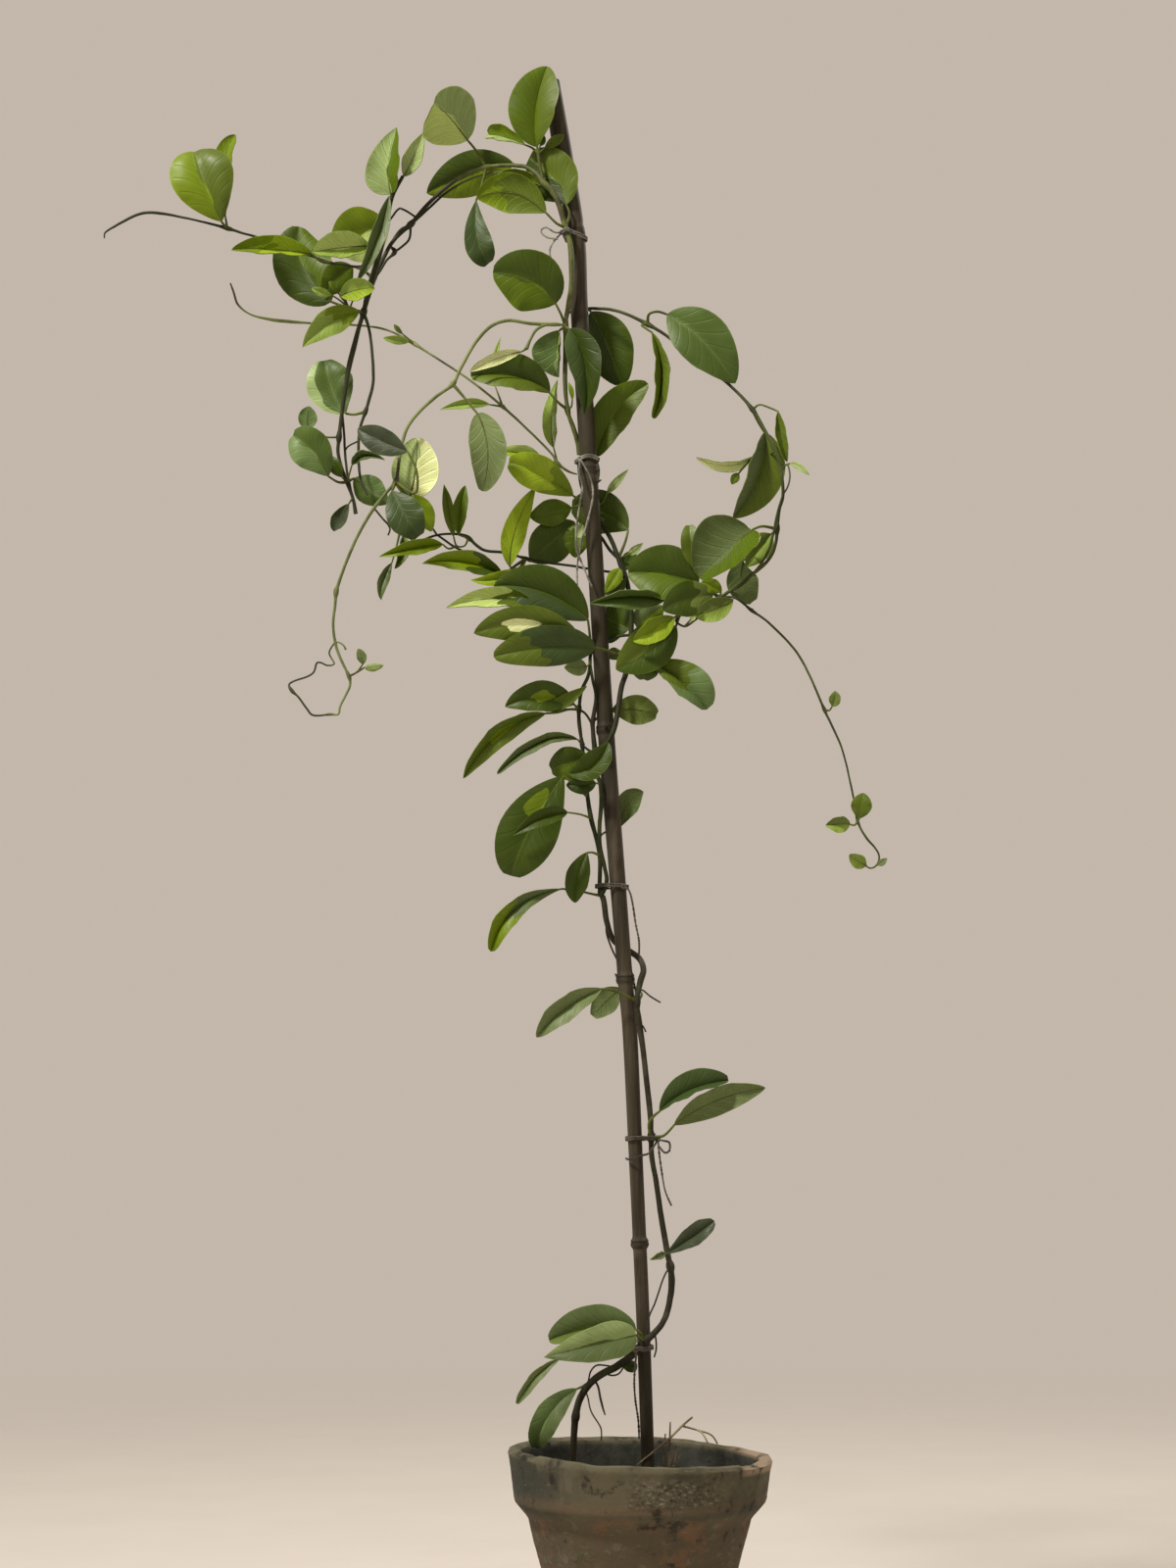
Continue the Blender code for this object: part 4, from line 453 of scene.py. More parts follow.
joint_half = cane_joint[0][0]
rows = [
    row for row in smoothed(stake_line, 6)
    if all(abs(row[1] - joint) > joint_half for joint, _ in stake_joints)
]
for joint, size in stake_joints:
    for step, swell in cane_joint:
        column, width = between(stake_line, joint + step)
        rows.append((column, joint + step, width * (1 + swell * size)))
rows.sort(key=lambda row: -row[1])
stake_points = [spot(x, y, 0) for x, y, _ in rows]
stake_radii = [0.5 * w * pixel_at(p) for (_, _, w), p in zip(rows, stake_points)]
lean = (stake_points[6] - stake_points[0]).normalized()
foot = stake_points[0] + lean * ((soil_top - stake_depth - stake_points[0].z) / lean.z)
stake_points.insert(0, foot)
stake_radii.insert(0, stake_radii[0])


def drawn(name, lines, sides):
    """Round stems drawn along lines of points and radii, as one mesh with closed ends."""
    curve = bpy.data.curves.new(name, "CURVE")
    curve.dimensions = "3D"
    curve.bevel_depth = 1.0
    curve.bevel_resolution = sides // 2 - 2
    curve.use_fill_caps = True
    for points, radii in lines:
        line = curve.splines.new("POLY")
        line.points.add(len(points) - 1)
        for node, point, radius in zip(line.points, points, radii):
            node.co = (*point, 1)
            node.radius = radius
    made = bpy.data.objects.new(name, curve)
    scene.collection.objects.link(made)
    pick(made)
    bpy.ops.object.convert(target="MESH")
    made = bpy.context.object
    made.name = name
    bpy.ops.object.mode_set(mode="EDIT")
    bpy.ops.mesh.select_all(action="SELECT")
    bpy.ops.mesh.remove_doubles(threshold=0.00001)
    bpy.ops.mesh.normals_make_consistent(inside=False)
    bpy.ops.object.mode_set(mode="OBJECT")
    return made


def bud(place, toward, size, length=1.8):
    """A small pointed bud or stub that stands out from a stem."""
    alone()
    bpy.ops.mesh.primitive_uv_sphere_add(segments=10, ring_count=8, radius=size)
    made = bpy.context.object
    for vert in made.data.vertices:
        rise = max(0.0, (vert.co.z / size + 1) / 2)
        vert.co.x *= 1 - 0.75 * rise**1.6
        vert.co.y *= 1 - 0.75 * rise**1.6
        vert.co.z *= length
    made.rotation_euler = Vector(toward).to_track_quat("Z", "Y").to_euler()
    made.location = place
    return settle(made)


pole = drawn("bamboo_cane", [(stake_points, stake_radii)], 28)
for vert in pole.data.vertices:
    place = vert.co.copy()
    vert.co.x += noise.noise(Vector((place.x * 120, place.y * 120, place.z * 7))) * 0.00022
    vert.co.y += noise.noise(Vector((place.x * 120 + 5, place.y * 120, place.z * 7))) * 0.00022
buds = []
for column, row, toward, size in cane_buds:
    column_mid, width = between(stake_line, row)
    middle = spot(column_mid, row, 0)
    out = Vector((toward[0], toward[1], 0)).normalized()
    buds.append(bud(middle + out * (0.5 * width * pixel_at(middle)), toward, size))
pole = joined("bamboo_cane", pole, *buds)
rounded(pole, 50)
bamboo, shader, place = finish("old_bamboo", Specular_IOR_Level=0.2)
fibre = place.stretched((1, 1, 0.02)).cloud(900, 6, 0.65)
streak = place.stretched((1, 1, 0.05)).cloud(150, 6, 0.6)
stain = place.stretched((1, 1, 0.35)).cloud(34, 6, 0.65)
height_in = place.part("Z")
# The cane is darker and less blue over its middle, from row 760 up to row 400.
low_end, high_end = spot(618, 760, 0).z, spot(604, 400, 0).z
darker_middle = height_in.within(low_end - 0.03, low_end + 0.04, high_end - 0.02, high_end + 0.05)
colour = streak.step(0.36, 0.66).blend((0.026, 0.021, 0.012), (0.066, 0.052, 0.032)).coated(
    (stain.step(0.52, 0.70) * 0.6, (0.090, 0.073, 0.050)),
    (stain.step(0.44, 0.30) * 0.75, (0.014, 0.011, 0.007)),
    (fibre.step(0.56, 0.70) * 0.35, (0.120, 0.098, 0.066)),
    (darker_middle * 0.65, (0.026, 0.021, 0.009)),
)
for joint, _ in stake_joints:
    level = spot(between(stake_line, joint)[0], joint, 0).z
    ring = height_in.within(level - 0.0022, level - 0.0004, level + 0.0004, level + 0.0018)
    scar = height_in.within(level - 0.013, level - 0.0055, level - 0.0055, level - 0.0035)
    colour = colour.coated(
        (ring * 0.70, (0.016, 0.012, 0.008)),
        (scar * stain.step(0.3, 0.6) * 0.45, (0.110, 0.090, 0.062)),
    )
feed(shader, Base_Color=colour, Roughness=stain * 0.30 + 0.52)
bumpy(shader, fibre * 0.6 + streak * 0.5, 0.35, 0.0006)
pole.data.materials.append(bamboo)
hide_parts("stake")
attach(pole, "root")

# The vine's stems: twining shoots with swollen joints, grey and corky at the foot, brown along
# the cane, and green to purple toward the tips. Each leans on the cane or on an older stem.


def points_in(text):
    """Rows of numbers from text, with spaces between the numbers and commas between the rows."""
    return [tuple(map(float, point.split())) for point in text.split(",")]


def routes_in(text):
    return [points_in(route) for route in text.split(";")]


# Each stem's points: a column, a row, a depth and a width in pixels. A semicolon ends a stem.
lower_routes = routes_in("""
585 1586 8 6, 585 1540 8 6.6, 585 1505 8 6.6, 585.5 1470 8 6.8, 586.5 1453 7 7.2, 587.3 1446 6 9,
588.5 1438 5 7.2, 591.5 1428 3 7.2, 597 1418 0 7.4, 606 1408 -4 7.4, 616 1401 -6 7.6, 628 1395 -9 7.8,
641 1386 -12 8, 651 1377 -14 8, 659 1368 -14 8, 668 1360 -13 6.8, 676 1350 -11 6.2, 681 1338 -8 6.2,
684.5 1320 -5 6.4, 685.4 1305 -4 7, 684 1292 -4 9, 681 1278 -4 6.2, 674.4 1240 -3 5.8, 669.4 1205 -3 5.4,
665 1180 -3 5.4, 664.4 1160 -4 8.4, 663.6 1138 -5 5.8, 659.4 1100 -6 5.8, 656 1070 -7 5.8,
652.4 1045 -9 6.4, 649.8 1022 -10 8.4, 653 1003 -7 6.6, 656.6 990 0 6.2, 653 979 7 6.2, 644.6 972 12 6.2,
634 966 13 6, 625 958 9 5.8, 619 940 2 5.8, 617 925 -2 6, 616 919 -3 6, 614.6 914.6 -4 6.4;
684 1292 -4 2, 677 1304 -8 1.8, 669 1328 -10 1.8, 662 1345 -12 1.8, 659 1368 -14 1.8;
606 1408 -4 2.4, 610 1414 -6 2.2, 613 1428 -8 2.4, 615.5 1438 -8 2, 617.5 1444 -8 1.4;
597 1418 0 1.8, 600 1427 -2 1.6, 603.5 1441 -3 1.6, 613 1457 -4 1.6, 613.5 1470 -4 1.6;
597 1418 0 1.8, 600.4 1409 2 1.8, 602.4 1400 3 1.8, 608 1393.5 2 1.8, 616 1393 -3 1.8, 628 1395 -9 1.8;
616 1401 -6 1.8, 624 1403.5 -8 1.8, 631 1402 -10 1.8, 635 1397 -11 1.8, 641 1386 -12 1.8;
668 1360 -13 2, 669.5 1369 -9 1.8, 669.5 1377 -7 1.8, 667.5 1385 -6 1.6;
619 940 2 2, 619 952 6 2, 624 967 10 2, 631 981 13 2, 641 992 12 2, 647 1003 5 2, 649.8 1022 -10 2;
649.8 1022 -10 1.8, 654 1010 -12 1.8, 664 1017 -14 1.8, 674 1023 -15 1.8;
652.4 1045 -9 1.8, 656 1047 -10 1.8, 659 1053 -11 1.8
""")
middle_routes = routes_in("""
613 914 -4 6.6, 612 900 -4 4.4, 612 873 -4 4.6, 607 850 -4 4.4, 603 835 -5 5.2, 599.6 813 -5 4.2,
597.4 790 -5 4.2, 594 760 -5 5.4, 591 738 -5 4.2, 591 724 -5 5.4, 593 706 -5 3.8, 600 690 -5 3.6,
602 677 -3 3.6, 603 667 4 3.6, 611 660 12 3.6, 621 653 11 3.2, 633 649 4 3, 644 648 0 3.4;
613 914 -4 6, 619 900 -5 4.4, 617 885 -5 4.2, 612 862 -5 4.4, 612 840 -6 4.4, 613.6 820 -7 4.6,
612.6 800 -8 4.6, 607 785 -8 4.8, 607 768 -8 5.6, 605 745 -6 4.6, 605 735 -6 5, 608 712 -6 3.4,
604.6 693 -6 3.2, 602 677 -3 3;
607 768 -8 5.4, 613 765 -13 5.4, 621 756 -14 5.4, 627 742 -12 5.6, 631 722 -6 5.6, 634 702 -3 5.6,
639 686 -2 5.6, 643 666 0 5.6, 644 648 0 5.6, 644 622 0 5.4, 641 600 0 5.2, 637 586 0 6.4, 631 570 2 5,
626 556 5 4.8, 620 544 8 4.8, 611 530 13 4.8, 600.5 513 14 4.8, 594.4 498 10 4.8, 592 484 7 4.8,
591 468 6 5;
631 570 2 3.6, 622 561 6 3.4, 614 549 11 3.4, 603 536 14 3.4, 600.5 513 14 3.4;
591 724 -5 2.4, 597 728 -6 2.4, 603 737 -7 2.4, 605 745 -6 2.4;
594 760 -5 2.4, 600 765 -7 2.4, 607 768 -8 2.4;
637 586 0 2.8, 627 584 7 2.6, 618 583 12 2.6, 608 581 13 2.6, 597 580 12 2.6, 587 578 6 2.6, 565 575 0 2.6,
550 573 -1 2.8, 537 570 0 4.4, 515 564 1 3, 496 562 2 3, 487 557 2 3.2, 478 549 2 5, 468 545 2 2.6,
446 546 2 2.4, 428 552 2 3, 418 549 1 2.4, 408 543 1 2.6, 395 534 1 2.2, 383 520 0 2;
395 534 1 1.8, 398 540 0 1.8, 396 546 -1 1.8;
446 546 2 2.2, 455 552 6 2.4, 463 557.5 9 2.4, 479 566 12 2.4;
446 546 2 2.2, 442 540 4 2.4
""")
crown_routes = routes_in("""
591 464 6 5, 590 452 5 5, 584.4 435 0 5, 579 418 -3 6.4, 576.6 390 -5 4.8, 577 360 -7 5, 577 333 -9 7,
580 312 -12 5.4, 583 290 -14 5.4, 583 262 -15 5.4, 581 245 -15 5.6, 577 232 -15 5.6, 570 208 -15 5.6,
563 195 -14 5.6, 555 187 -13 7, 548 178 -11 4.8, 538 171 -7 4.4, 527 169 -1 4.2, 510 169 5 4.2,
496 171 8 6.4, 477 177 12 4, 457 190 15 4, 437 208 18 4, 425 222 20 4.4, 419 229 20 7, 402 245 18 4,
392 262 16 4.2, 382 284 12 5, 375 303 10 6, 371 319 10 7.6, 366 335 10 4.6, 361 355 10 5.6, 356 375 10 5.4,
353 395 11 4.2, 349 421 12 4, 346 446 12 6.4, 345 462 12 3.6, 349 478 12 3.6, 354 492 12 4.2,
360 508 12 3.4, 363 524 12 4.4;
548 178 -11 2.8, 534 176 -4 2.6, 515 175 6 2.6, 497 178 11 2.8, 477 184 15 2.6, 455 197 19 2.6,
437 213 21 2.6, 419 229 20 2.8, 408 235 23 2.4, 399 250 22 2.4, 403 257 20 5, 395 265 15 2.6,
388 276 13 2.6, 382 284 12 2.6;
419 229 20 2.6, 417 245 24 2.4, 403 257 20 2.4;
425 222 20 2.2, 412 214 14 2.2, 406 214 8 2.2, 397 226 2 2.2, 394 231 0 2.2;
371 319 10 4, 376 333 9 3.2, 379 352 8 3.2, 381 380 8 3.2, 380 395 8 3.2, 376 410 8 3.4, 373 420 8 5,
368 435 8 3, 366 450 8 3, 366 470 8 3, 368 488 7 2.8, 375 505 5 2.8;
349 421 12 3, 351 440 15 2.6, 352 460 17 2.6, 354 480 16 2.6, 358 500 14 2.6, 363 524 12 2.6;
352 460 17 1.8, 356 455 15 1.8, 366 450 8 1.8;
375 303 10 6.6, 380 284 6 6.4, 388 256 2 5.6, 394 231 0 5, 400 201 -2 4.4, 411 180 -4 3.6;
388 256 2 2.2, 371 271 2 2.2, 350 270 0 2.2, 337 268 -3 3.2, 317 261 -8 2.4, 292 252 -14 2.4,
266 243 -20 2.4, 248 238 -24 2.4, 232 233 -27 5, 205 226 -30 2.2, 182 221 -33 2.4, 166 218 -35 3,
150 217 -36 3, 138 220 -37 2.8, 124 227 -38 2.6, 112 234 -39 2.2, 107 238 -40 1.8, 106.5 243 -40 1.4;
555 187 -13 3.6, 551 170 -13 3.4, 549.5 157 -14 3.8;
371 319 10 4, 357 315 4 3.4, 353 307 0 1.8, 351 299 -3 1.6;
357 315 4 1.8, 360 306 1 1.6, 360 299 -2 1.6
""")
pale_routes = routes_in("""
574.2 332 -11.8 1.6, 568 331 -16 4.2, 560 331 -19 4.2, 540 330 -22 3.6, 519 327 -25 3.6, 501 333 -27 3.6,
485 350 -29 3.4, 470 376 -31 3.4, 462 392 -32 5.6, 446 404 -33 3.4, 430 418 -35 3.4, 417 434 -37 3.4,
411 450 -38 3.4, 408 465 -39 3.4, 406 481 -40 3.4, 404 491 -40 5.6, 394 503 -40 3.4, 382 518 -41 3.6,
372 534 -40 3.2, 362 553 -38 3.2, 352 577 -36 3.2, 345 597 -34 3.4, 343 604 -34 5.6, 342 617 -33 3,
340 635 -32 2.8, 342 655 -31 3, 347 671 -31 3, 356 690 -32 4.4, 357 700 -32 2.6, 352 711 -32 2.4,
347 721 -32 2.4, 345 729 -32 2, 337 729 -31 3, 320 730 -30 2.2, 313 723 -29 2.2, 305 712 -28 2.2,
298 705 -27 4, 295 699 -26 2, 300 695 -25 2, 312 691 -24 2, 320 686 -23 2, 323 677 -22 2, 327 676 -22 1.8,
334 679 -22 1.8, 341 677 -22 1.8, 336 666 -23 1.8, 342 655 -31 1.8;
560 331 -19 3, 553 333 -21 3, 546 338 -23 3, 541 347 -24 2.8, 537 356 -24 4.4;
342 655 -31 1.8, 347 656 -34 1.8, 351 659 -36 1.8, 353 663 -36 2.4
""")
thin_routes = routes_in("""
588.8 484 7 1.4, 580 481 4 2.6, 569 473 2 5, 562 462 0 2.4, 537 437 -4 2.4, 513 415 -8 4.4, 485 392 -10 2.4,
465 378 -10 2.2, 440 362 -4 2.2, 423 351 2 4.6, 405 341 10 2.2, 392 336 17 2.2, 376 333 22 2.2,
350 331 23 2.2, 320 330 20 2.2, 293 328 16 3.6, 276 326 12 3.4, 256 321 8 2, 243 311 4 2.4, 238 297 0 2.2,
235 289 -2 1.6
""")
loop_routes = routes_in("""
577.8 323 -7.7 1.6, 577 322 -2 2.6, 578 320 5 3, 583 318 11 3.2, 590 317 14 3.2, 600 315 12 3.2,
611 315 6 3.2, 623 316 0 3.2, 638 320 -8 3.2, 661 331 -20 6, 682 344 -26 3.2, 708 367 -28 3.2,
733 384 -32 3.2, 750 398 -36 3.2, 768 418 -42 6, 781 440 -45 3.4, 791 460 -47 3.4, 797 481 -48 3.4,
799 505 -48 3.4, 795 520 -47 3.6, 793 540 -46 6, 792 552 -45 3.4, 788 565 -43 3.4, 779 577 -40 3.4,
762 590 -34 3.4, 742 605 -26 3.6, 734 610 -23 5, 716 617 -17 3, 700 624 -12 3, 693 628 -10 4.6;
799 505 -48 2.6, 793 525 -51 2.6, 789 545 -50 2.6, 784 562 -48 2.6, 774 579 -45 2.6, 758 596 -38 2.6,
742 605 -26 2.6;
734 610 -23 2.4, 722 622 -21 2.4, 710 632 -17 2.4, 699 639 -13 2.4, 690 634 -11 2.2, 693 628 -10 2.4;
797 481 -48 1.8, 803 474 -53 1.8, 806 484 -56 1.8, 804 496 -55 1.8, 799 505 -48 1.8;
734 610 -23 3, 750 610 -28 2.4, 767 623 -33 4, 785 636 -38 2.4, 811 663 -44 2.4, 826 689 -48 2.4,
841 724 -52 4.2, 856 756 -55 2.2, 863 778 -56 2, 871 815 -57 2, 875 838 -57 3.4, 884 855 -56 2.4,
892 864 -54 2, 897 873 -52 1.8, 895 882 -50 1.8, 888 886 -49 1.6, 880 881 -48 1.4
""")
slim_share = 0.6
joint_reach = 5.5
thinnest_stem = 0.0004
cane_clearance = 0.00035


def cane_at(height):
    """The middle of the cane and its radius at a height."""
    for low, high, r_low, r_high in zip(stake_points, stake_points[1:], stake_radii, stake_radii[1:]):
        if low.z <= height <= high.z:
            part = (height - low.z) / max(high.z - low.z, 1e-9)
            return low.lerp(high, part), r_low + (r_high - r_low) * part
    return None, 0.0


def off_the_cane(point, radius):
    """The point, moved straight out if a stem of this radius would touch the cane there."""
    middle, thick = cane_at(point.z)
    if middle is None:
        return point
    out = Vector((point.x - middle.x, point.y - middle.y, 0))
    reach = thick + radius + cane_clearance
    if out.length >= reach:
        return point
    if out.length < 1e-5:
        out = Vector((0, -1, 0))
    return Vector((middle.x, middle.y, point.z)) + out.normalized() * reach


def joints_of(route):
    """The rows where a stem swells into a joint."""
    return [
        b for a, b, c in zip(route, route[1:], route[2:])
        if b[3] > 1.25 * a[3] and b[3] > 1.25 * c[3]
    ]


def stem_line(route, steps=6):
    """The middle line of a stem and its thickness, which swells only close to each joint."""
    joints = joints_of(route)
    slim = [(*row[:3], row[3] * slim_share) if row in joints else row for row in route]
    points, radii = [], []
    for x, y, depth, width in smoothed(slim, steps):
        for joint in joints:
            away = math.hypot(x - joint[0], y - joint[1]) / joint_reach
            width += joint[3] * (1 - slim_share) * max(0, 1 - away * away)
        place = spot(x, y, depth)
        radius = max(0.5 * width * pixel_at(place), thinnest_stem)
        points.append(off_the_cane(place, radius))
        radii.append(radius)
    return points, radii


def vine(name, routes, look, node, seed):
    """The stems of a group, with a pair of old leaf stubs at each joint."""
    luck = random.Random(seed)
    noise.seed_set(seed)
    made = drawn(name, [stem_line(route) for route in routes], 12)
    stubs = []
    for x, y, depth, width in [joint for route in routes for joint in joints_of(route)]:
        place = spot(x, y, depth)
        thick = 0.5 * width * pixel_at(place)
        for side in (-1, 1):
            toward = Vector((side * luck.uniform(0.5, 1), luck.uniform(-0.8, 0.4), luck.uniform(0.2, 1)))
            toward.normalize()
            stubs.append(bud(place + toward * thick * 0.55, toward, thick * luck.uniform(0.42, 0.6), 1.5))
    made = joined(name, made, *stubs)
    for vert in made.data.vertices:
        vert.co += Vector(noise.noise_vector(vert.co * 160)) * 0.00016
    rounded(made, 60)
    made.data.materials.clear()
    made.data.materials.append(look)
    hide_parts(node)
    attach(made, "root")


def stem_skin(name, dark, light, tip, pale, roughness, shaded=None):
    """Smooth skin with fine ridges along the stem and corky specks, darker left of a shaded span."""
    made, shader, place = finish(name, Specular_IOR_Level=0.16)
    fine = place.stretched((1, 1, 0.25)).cloud(520, 5, 0.65)
    specks = place.cells(900).step(0.30, 0.16)
    colour = place.cloud(38, 5, 0.6).step(0.40, 0.62).blend(dark, light).coated(
        (place.moved(3, 1, 2).cloud(22, 4).step(0.55, 0.66), tip),
        (fine.step(0.52, 0.70) * 0.3, pale),
        (specks * 0.12, pale),
    )
    if shaded:
        colour = ((1 - place.part("X").step(*shaded)) * 0.85).blend(colour, (0.020, 0.020, 0.010))
    feed(shader, Base_Color=colour, Roughness=fine * 0.2 + roughness)
    bumpy(shader, fine + specks * 0.3, 0.25, 0.0003)
    return made


pale_greens = (0.115, 0.140, 0.045), (0.200, 0.235, 0.085), (0.050, 0.042, 0.028), (0.29, 0.31, 0.16), 0.5
for name, routes, slot, node, seed, *skin in (
    ("trunk_stems", lower_routes, "bark", "lower_stem", 31, "grey_bark",
     (0.022, 0.020, 0.011), (0.052, 0.047, 0.029), (0.036, 0.046, 0.016), (0.095, 0.085, 0.056), 0.62),
    ("cane_stems", middle_routes, "leaf_green", "middle_stems", 32, "shaded_stem",
     (0.014, 0.018, 0.005), (0.033, 0.043, 0.011), (0.024, 0.020, 0.010), (0.045, 0.055, 0.02), 0.5),
    ("crown_stems", crown_routes, "leaf_green", "crown_stem", 33, "arching_stem",
     (0.070, 0.078, 0.024), (0.130, 0.150, 0.040), (0.050, 0.046, 0.020), (0.20, 0.23, 0.09), 0.45,
     (spot(430, 200, 0).x, spot(500, 180, 0).x)),
    ("pale_stems", pale_routes, "leaf_green", "pale_shoot", 34, "pale_stem",
     *pale_greens, (spot(331, 700, -25).x, spot(343.5, 700, -25).x)),
    ("thin_stems", thin_routes, "leaf_green", "thin_shoot", 35, "thin_stem", *pale_greens),
    ("loop_stems", loop_routes, "leaf_green", "right_loop", 36, "green_stem",
     (0.030, 0.036, 0.010), (0.066, 0.082, 0.020), (0.028, 0.026, 0.012), (0.11, 0.13, 0.05), 0.5),
):
    vine(name, routes, stem_skin(*skin), node, seed)

# The leaves are leathery and evergreen, in pairs on short stalks: a glossy upper face with fine
# pale veins, and a duller underside with a raised rib. New ones are yellow-green, old ones deep
# green or bluish. Sun and shade are painted into the greens too: the lit, sun and bright greens are
# painted sunlight on or through a blade, dark is painted shade, and many leaves carry a crisp
# painted sunlit or shaded patch, a few a painted glint.

# A leaf to a line: its stalk; its rib's base, middle and tip; its width in pixels, the degrees that
# its two halves turn to the camera, its outline, the face that shows and that face's green, and on
# some a second green and where it lies: a painted sunlit or shaded part, on a few a painted glint.
lower_leaves = """
656 1368 -14, 654 1361 -17; 649 1357 -18, 604 1356 -14, 560 1368 -8; 48 60 10 round top olive moss right
656 1368 -14, 654 1366 -21; 649 1362 -27, 602 1373 -38, 555 1385 -41; 40 22 22 egg top moss mint right
602 1373 -38; 571 1387 -42, 547.5 1404 -44, 527 1433 -42; 16 40 50 blunt top grey
630 1391 -9; 633 1391 -4, 643 1394 4, 651 1396 10; 12 10 10 oval top deep
598 1413 0, 594 1415 -2; 589 1417 -4, 561 1443 -12, 546 1480 -8; 29 20 20 blunt top sage moss left
664 1160 -4, 662 1147 -9, 667 1139 -11; 673 1134 -13, 703 1113 -22, 742 1103 -30; 38 10 75 blunt top teal
664 1160 -4, 677 1159 -6; 688 1148 -13, 731 1123 -20, 781 1110 -24; 30 35 10 oval under grey
682 1278 -4; 679 1280 -8, 705 1263 -14, 727 1247 -22; 24 25 35 spoon top slate
682 1278 -4; 678 1279 -8, 672 1282 -16, 664 1285 -24; 9 40 40 long under grey
650 1022 -10, 641 1017 -15, 627 1011 -18; 614 1009 -20, 576 1030 -30, 547 1059 -28; 31 40 40 oval top grey
650 1022 -10, 655 1014 0, 645 1007 11; 633 1008 15, 620 1020 16, 607 1035 12; 26 5 10 blunt under grey
"""
middle_leaves = """
612 873 -4, 605 870 -7; 599 870 -9, 589 897 -13, 587 921 -13; 25 15 15 oval top deep
613 914 -4, 603 912 -6, 590 909 -7; 574 907 -9, 526 927 -20, 501 970 -26; 26 35 45 spoon top moss lit tip
591 724 -5; 586 719 -8, 553 711 -14, 516 721 -18; 34 30 15 oval top deep lit middle
591 724 -5, 580 724 -8, 569 727 -12; 557 728 -14, 509 749 -22, 473 794 -24; 27 20 50 oval top mid lit middle
580 724 -8; 557 725 -11, 577 715 -13, 599 700 -15; 14 10 20 long under mid
594 760 -5; 590 755 -8, 553 757 -16, 508 789 -22; 21 60 50 blunt top moss
607 768 -8; 602 773 -10, 583 778 -11, 563 785 -11; 34 5 5 blunt top deep rich left
599.6 813 -5, 589 797 -11; 581 790 -15, 606 780 -24, 621 757 -27; 30 25 30 oval top deep
612.6 800 -8; 608 799 -10, 594 801 -13, 578 801 -14; 19 10 10 oval top dark
599.6 813 -5, 587 801 -12; 575 792 -17, 542 843 -30, 522 893 -33; 60 3 3 blunt top deep lit spot
603 835 -5, 592 831 -18; 579 829 -29, 553 835 -41, 523 853 -45; 22 40 30 long top deep
605 745 -6, 604 739 2, 609 733 10, 618 728 13; 624 725 12, 647 724 6, 669 729 3; 30 5 5 blunt under olive
612 862 -5, 613 853 2, 620 848 10; 632 844 11, 641 820 9, 656 808 6; 24 10 15 oval under moss
537 570 0, 522 580 -4; 514 588 -7, 474 574 -13, 431 575 -17; 30 55 30 long top lit deep base
537 570 0; 532 582 -9, 507 591 -15, 480 592 -18; 16 30 20 long top sun
603 667 4, 601 657 -8, 575 640 -18; 546 616 -25, 502 611 -31, 456 620 -34; 25 50 15 long under bright mid base
603 667 4, 602 650 -8; 600 633 -14, 556 605 -22, 504 598 -26; 54 30 0 oval top deep teal left
603 667 4, 598 655 -12; 590 647 -27, 536 636 -36, 484 646 -40; 37 5 10 oval top mid cream middle
643 666 0, 634 669 -8, 620 664 -14; 607 661 -19, 556 659 -32, 504 670 -36; 42 8 12 round top teal mid tip
602 677 -3; 599 680 -8, 590 681 -12, 576 681 -14; 17 10 10 oval under grey
600.5 513 14, 592 510 6; 585 506 -2, 552 484 -15, 519 472 -20; 38 15 20 blunt top sun lit base
600.5 513 14, 592 516 8; 583 518 4, 563 523 0, 541 527 -3; 27 5 5 oval top rich
537 570 0; 541 573 3, 562 554 7, 587 532 9; 42 3 6 oval top deep
603 536 14, 597 534 13; 594 535 11, 589 550 9, 587 568 8; 27 5 5 oval top rich pale base
631 570 2, 638 553 8; 641 541 14, 616 524 20, 584 517 21; 44 0 0 blunt top deep
637 586 0; 638 582 4, 642 572 7, 648 562 9; 16 5 5 oval top deep
637 586 0; 632 580 -5, 627 590 -9, 618 604 -12; 15 5 5 oval top lit
631 570 2; 641 566 1, 648 561 1, 656 554 0; 8 5 5 long under pale
644 648 0; 642 642 5, 628 635 11, 611 629 14; 45 0 0 oval top deep
644 648 0; 650 641 5, 658 634 8, 677 618 9; 30 5 5 oval top lit grey left
643 666 0, 634 666 4; 633 664 6, 627 667 8, 620 671 9; 13 5 5 oval top olive
643 666 0, 652 671 1; 659 675 2, 658 684 4, 657 692 5; 27 3 3 blunt top deep
643 666 0, 652 671 1; 663 675 1, 694 695 -6, 720 723 -10; 48 3 65 spoon top mid sage tip
600.5 513 14, 608 496 13, 611 481 13; 608 467 14, 627 422 11, 661 392 0; 41 5 35 round top rich mid right
600.5 513 14, 614 514 14; 619 504 12, 629 492 10, 641 479 8; 8 10 10 long under pale
537 570 0, 529 580 -3; 520 578 -7, 526.5 539 -13, 547 496 -10; 25 10 25 long under sun
478 549 2, 474 557 -3, 466 557 -4; 463 548 -3, 458 520 -3, 453 494 -4; 13 20 30 long top mid
478 549 2; 468 546 -1, 469.5 521 -4, 475 495 -6; 17 30 35 oval top rich
466 557 -4, 458 560 -5; 452 555.5 -6, 423 559.5 -12, 387 568 -15; 22 55 38 long top lit
408 543 1; 411 546 -1, 411 562 -4, 403 580 -6; 16 30 60 oval top mid deep right
408 543 1, 404 560 -2; 400 574 -4, 390 595 -7, 389 612 -9; 13 20 40 long top moss
637 586 0; 638 592 -3, 629 600 -6, 618 606 -9; 15 5 5 oval top deep
"""
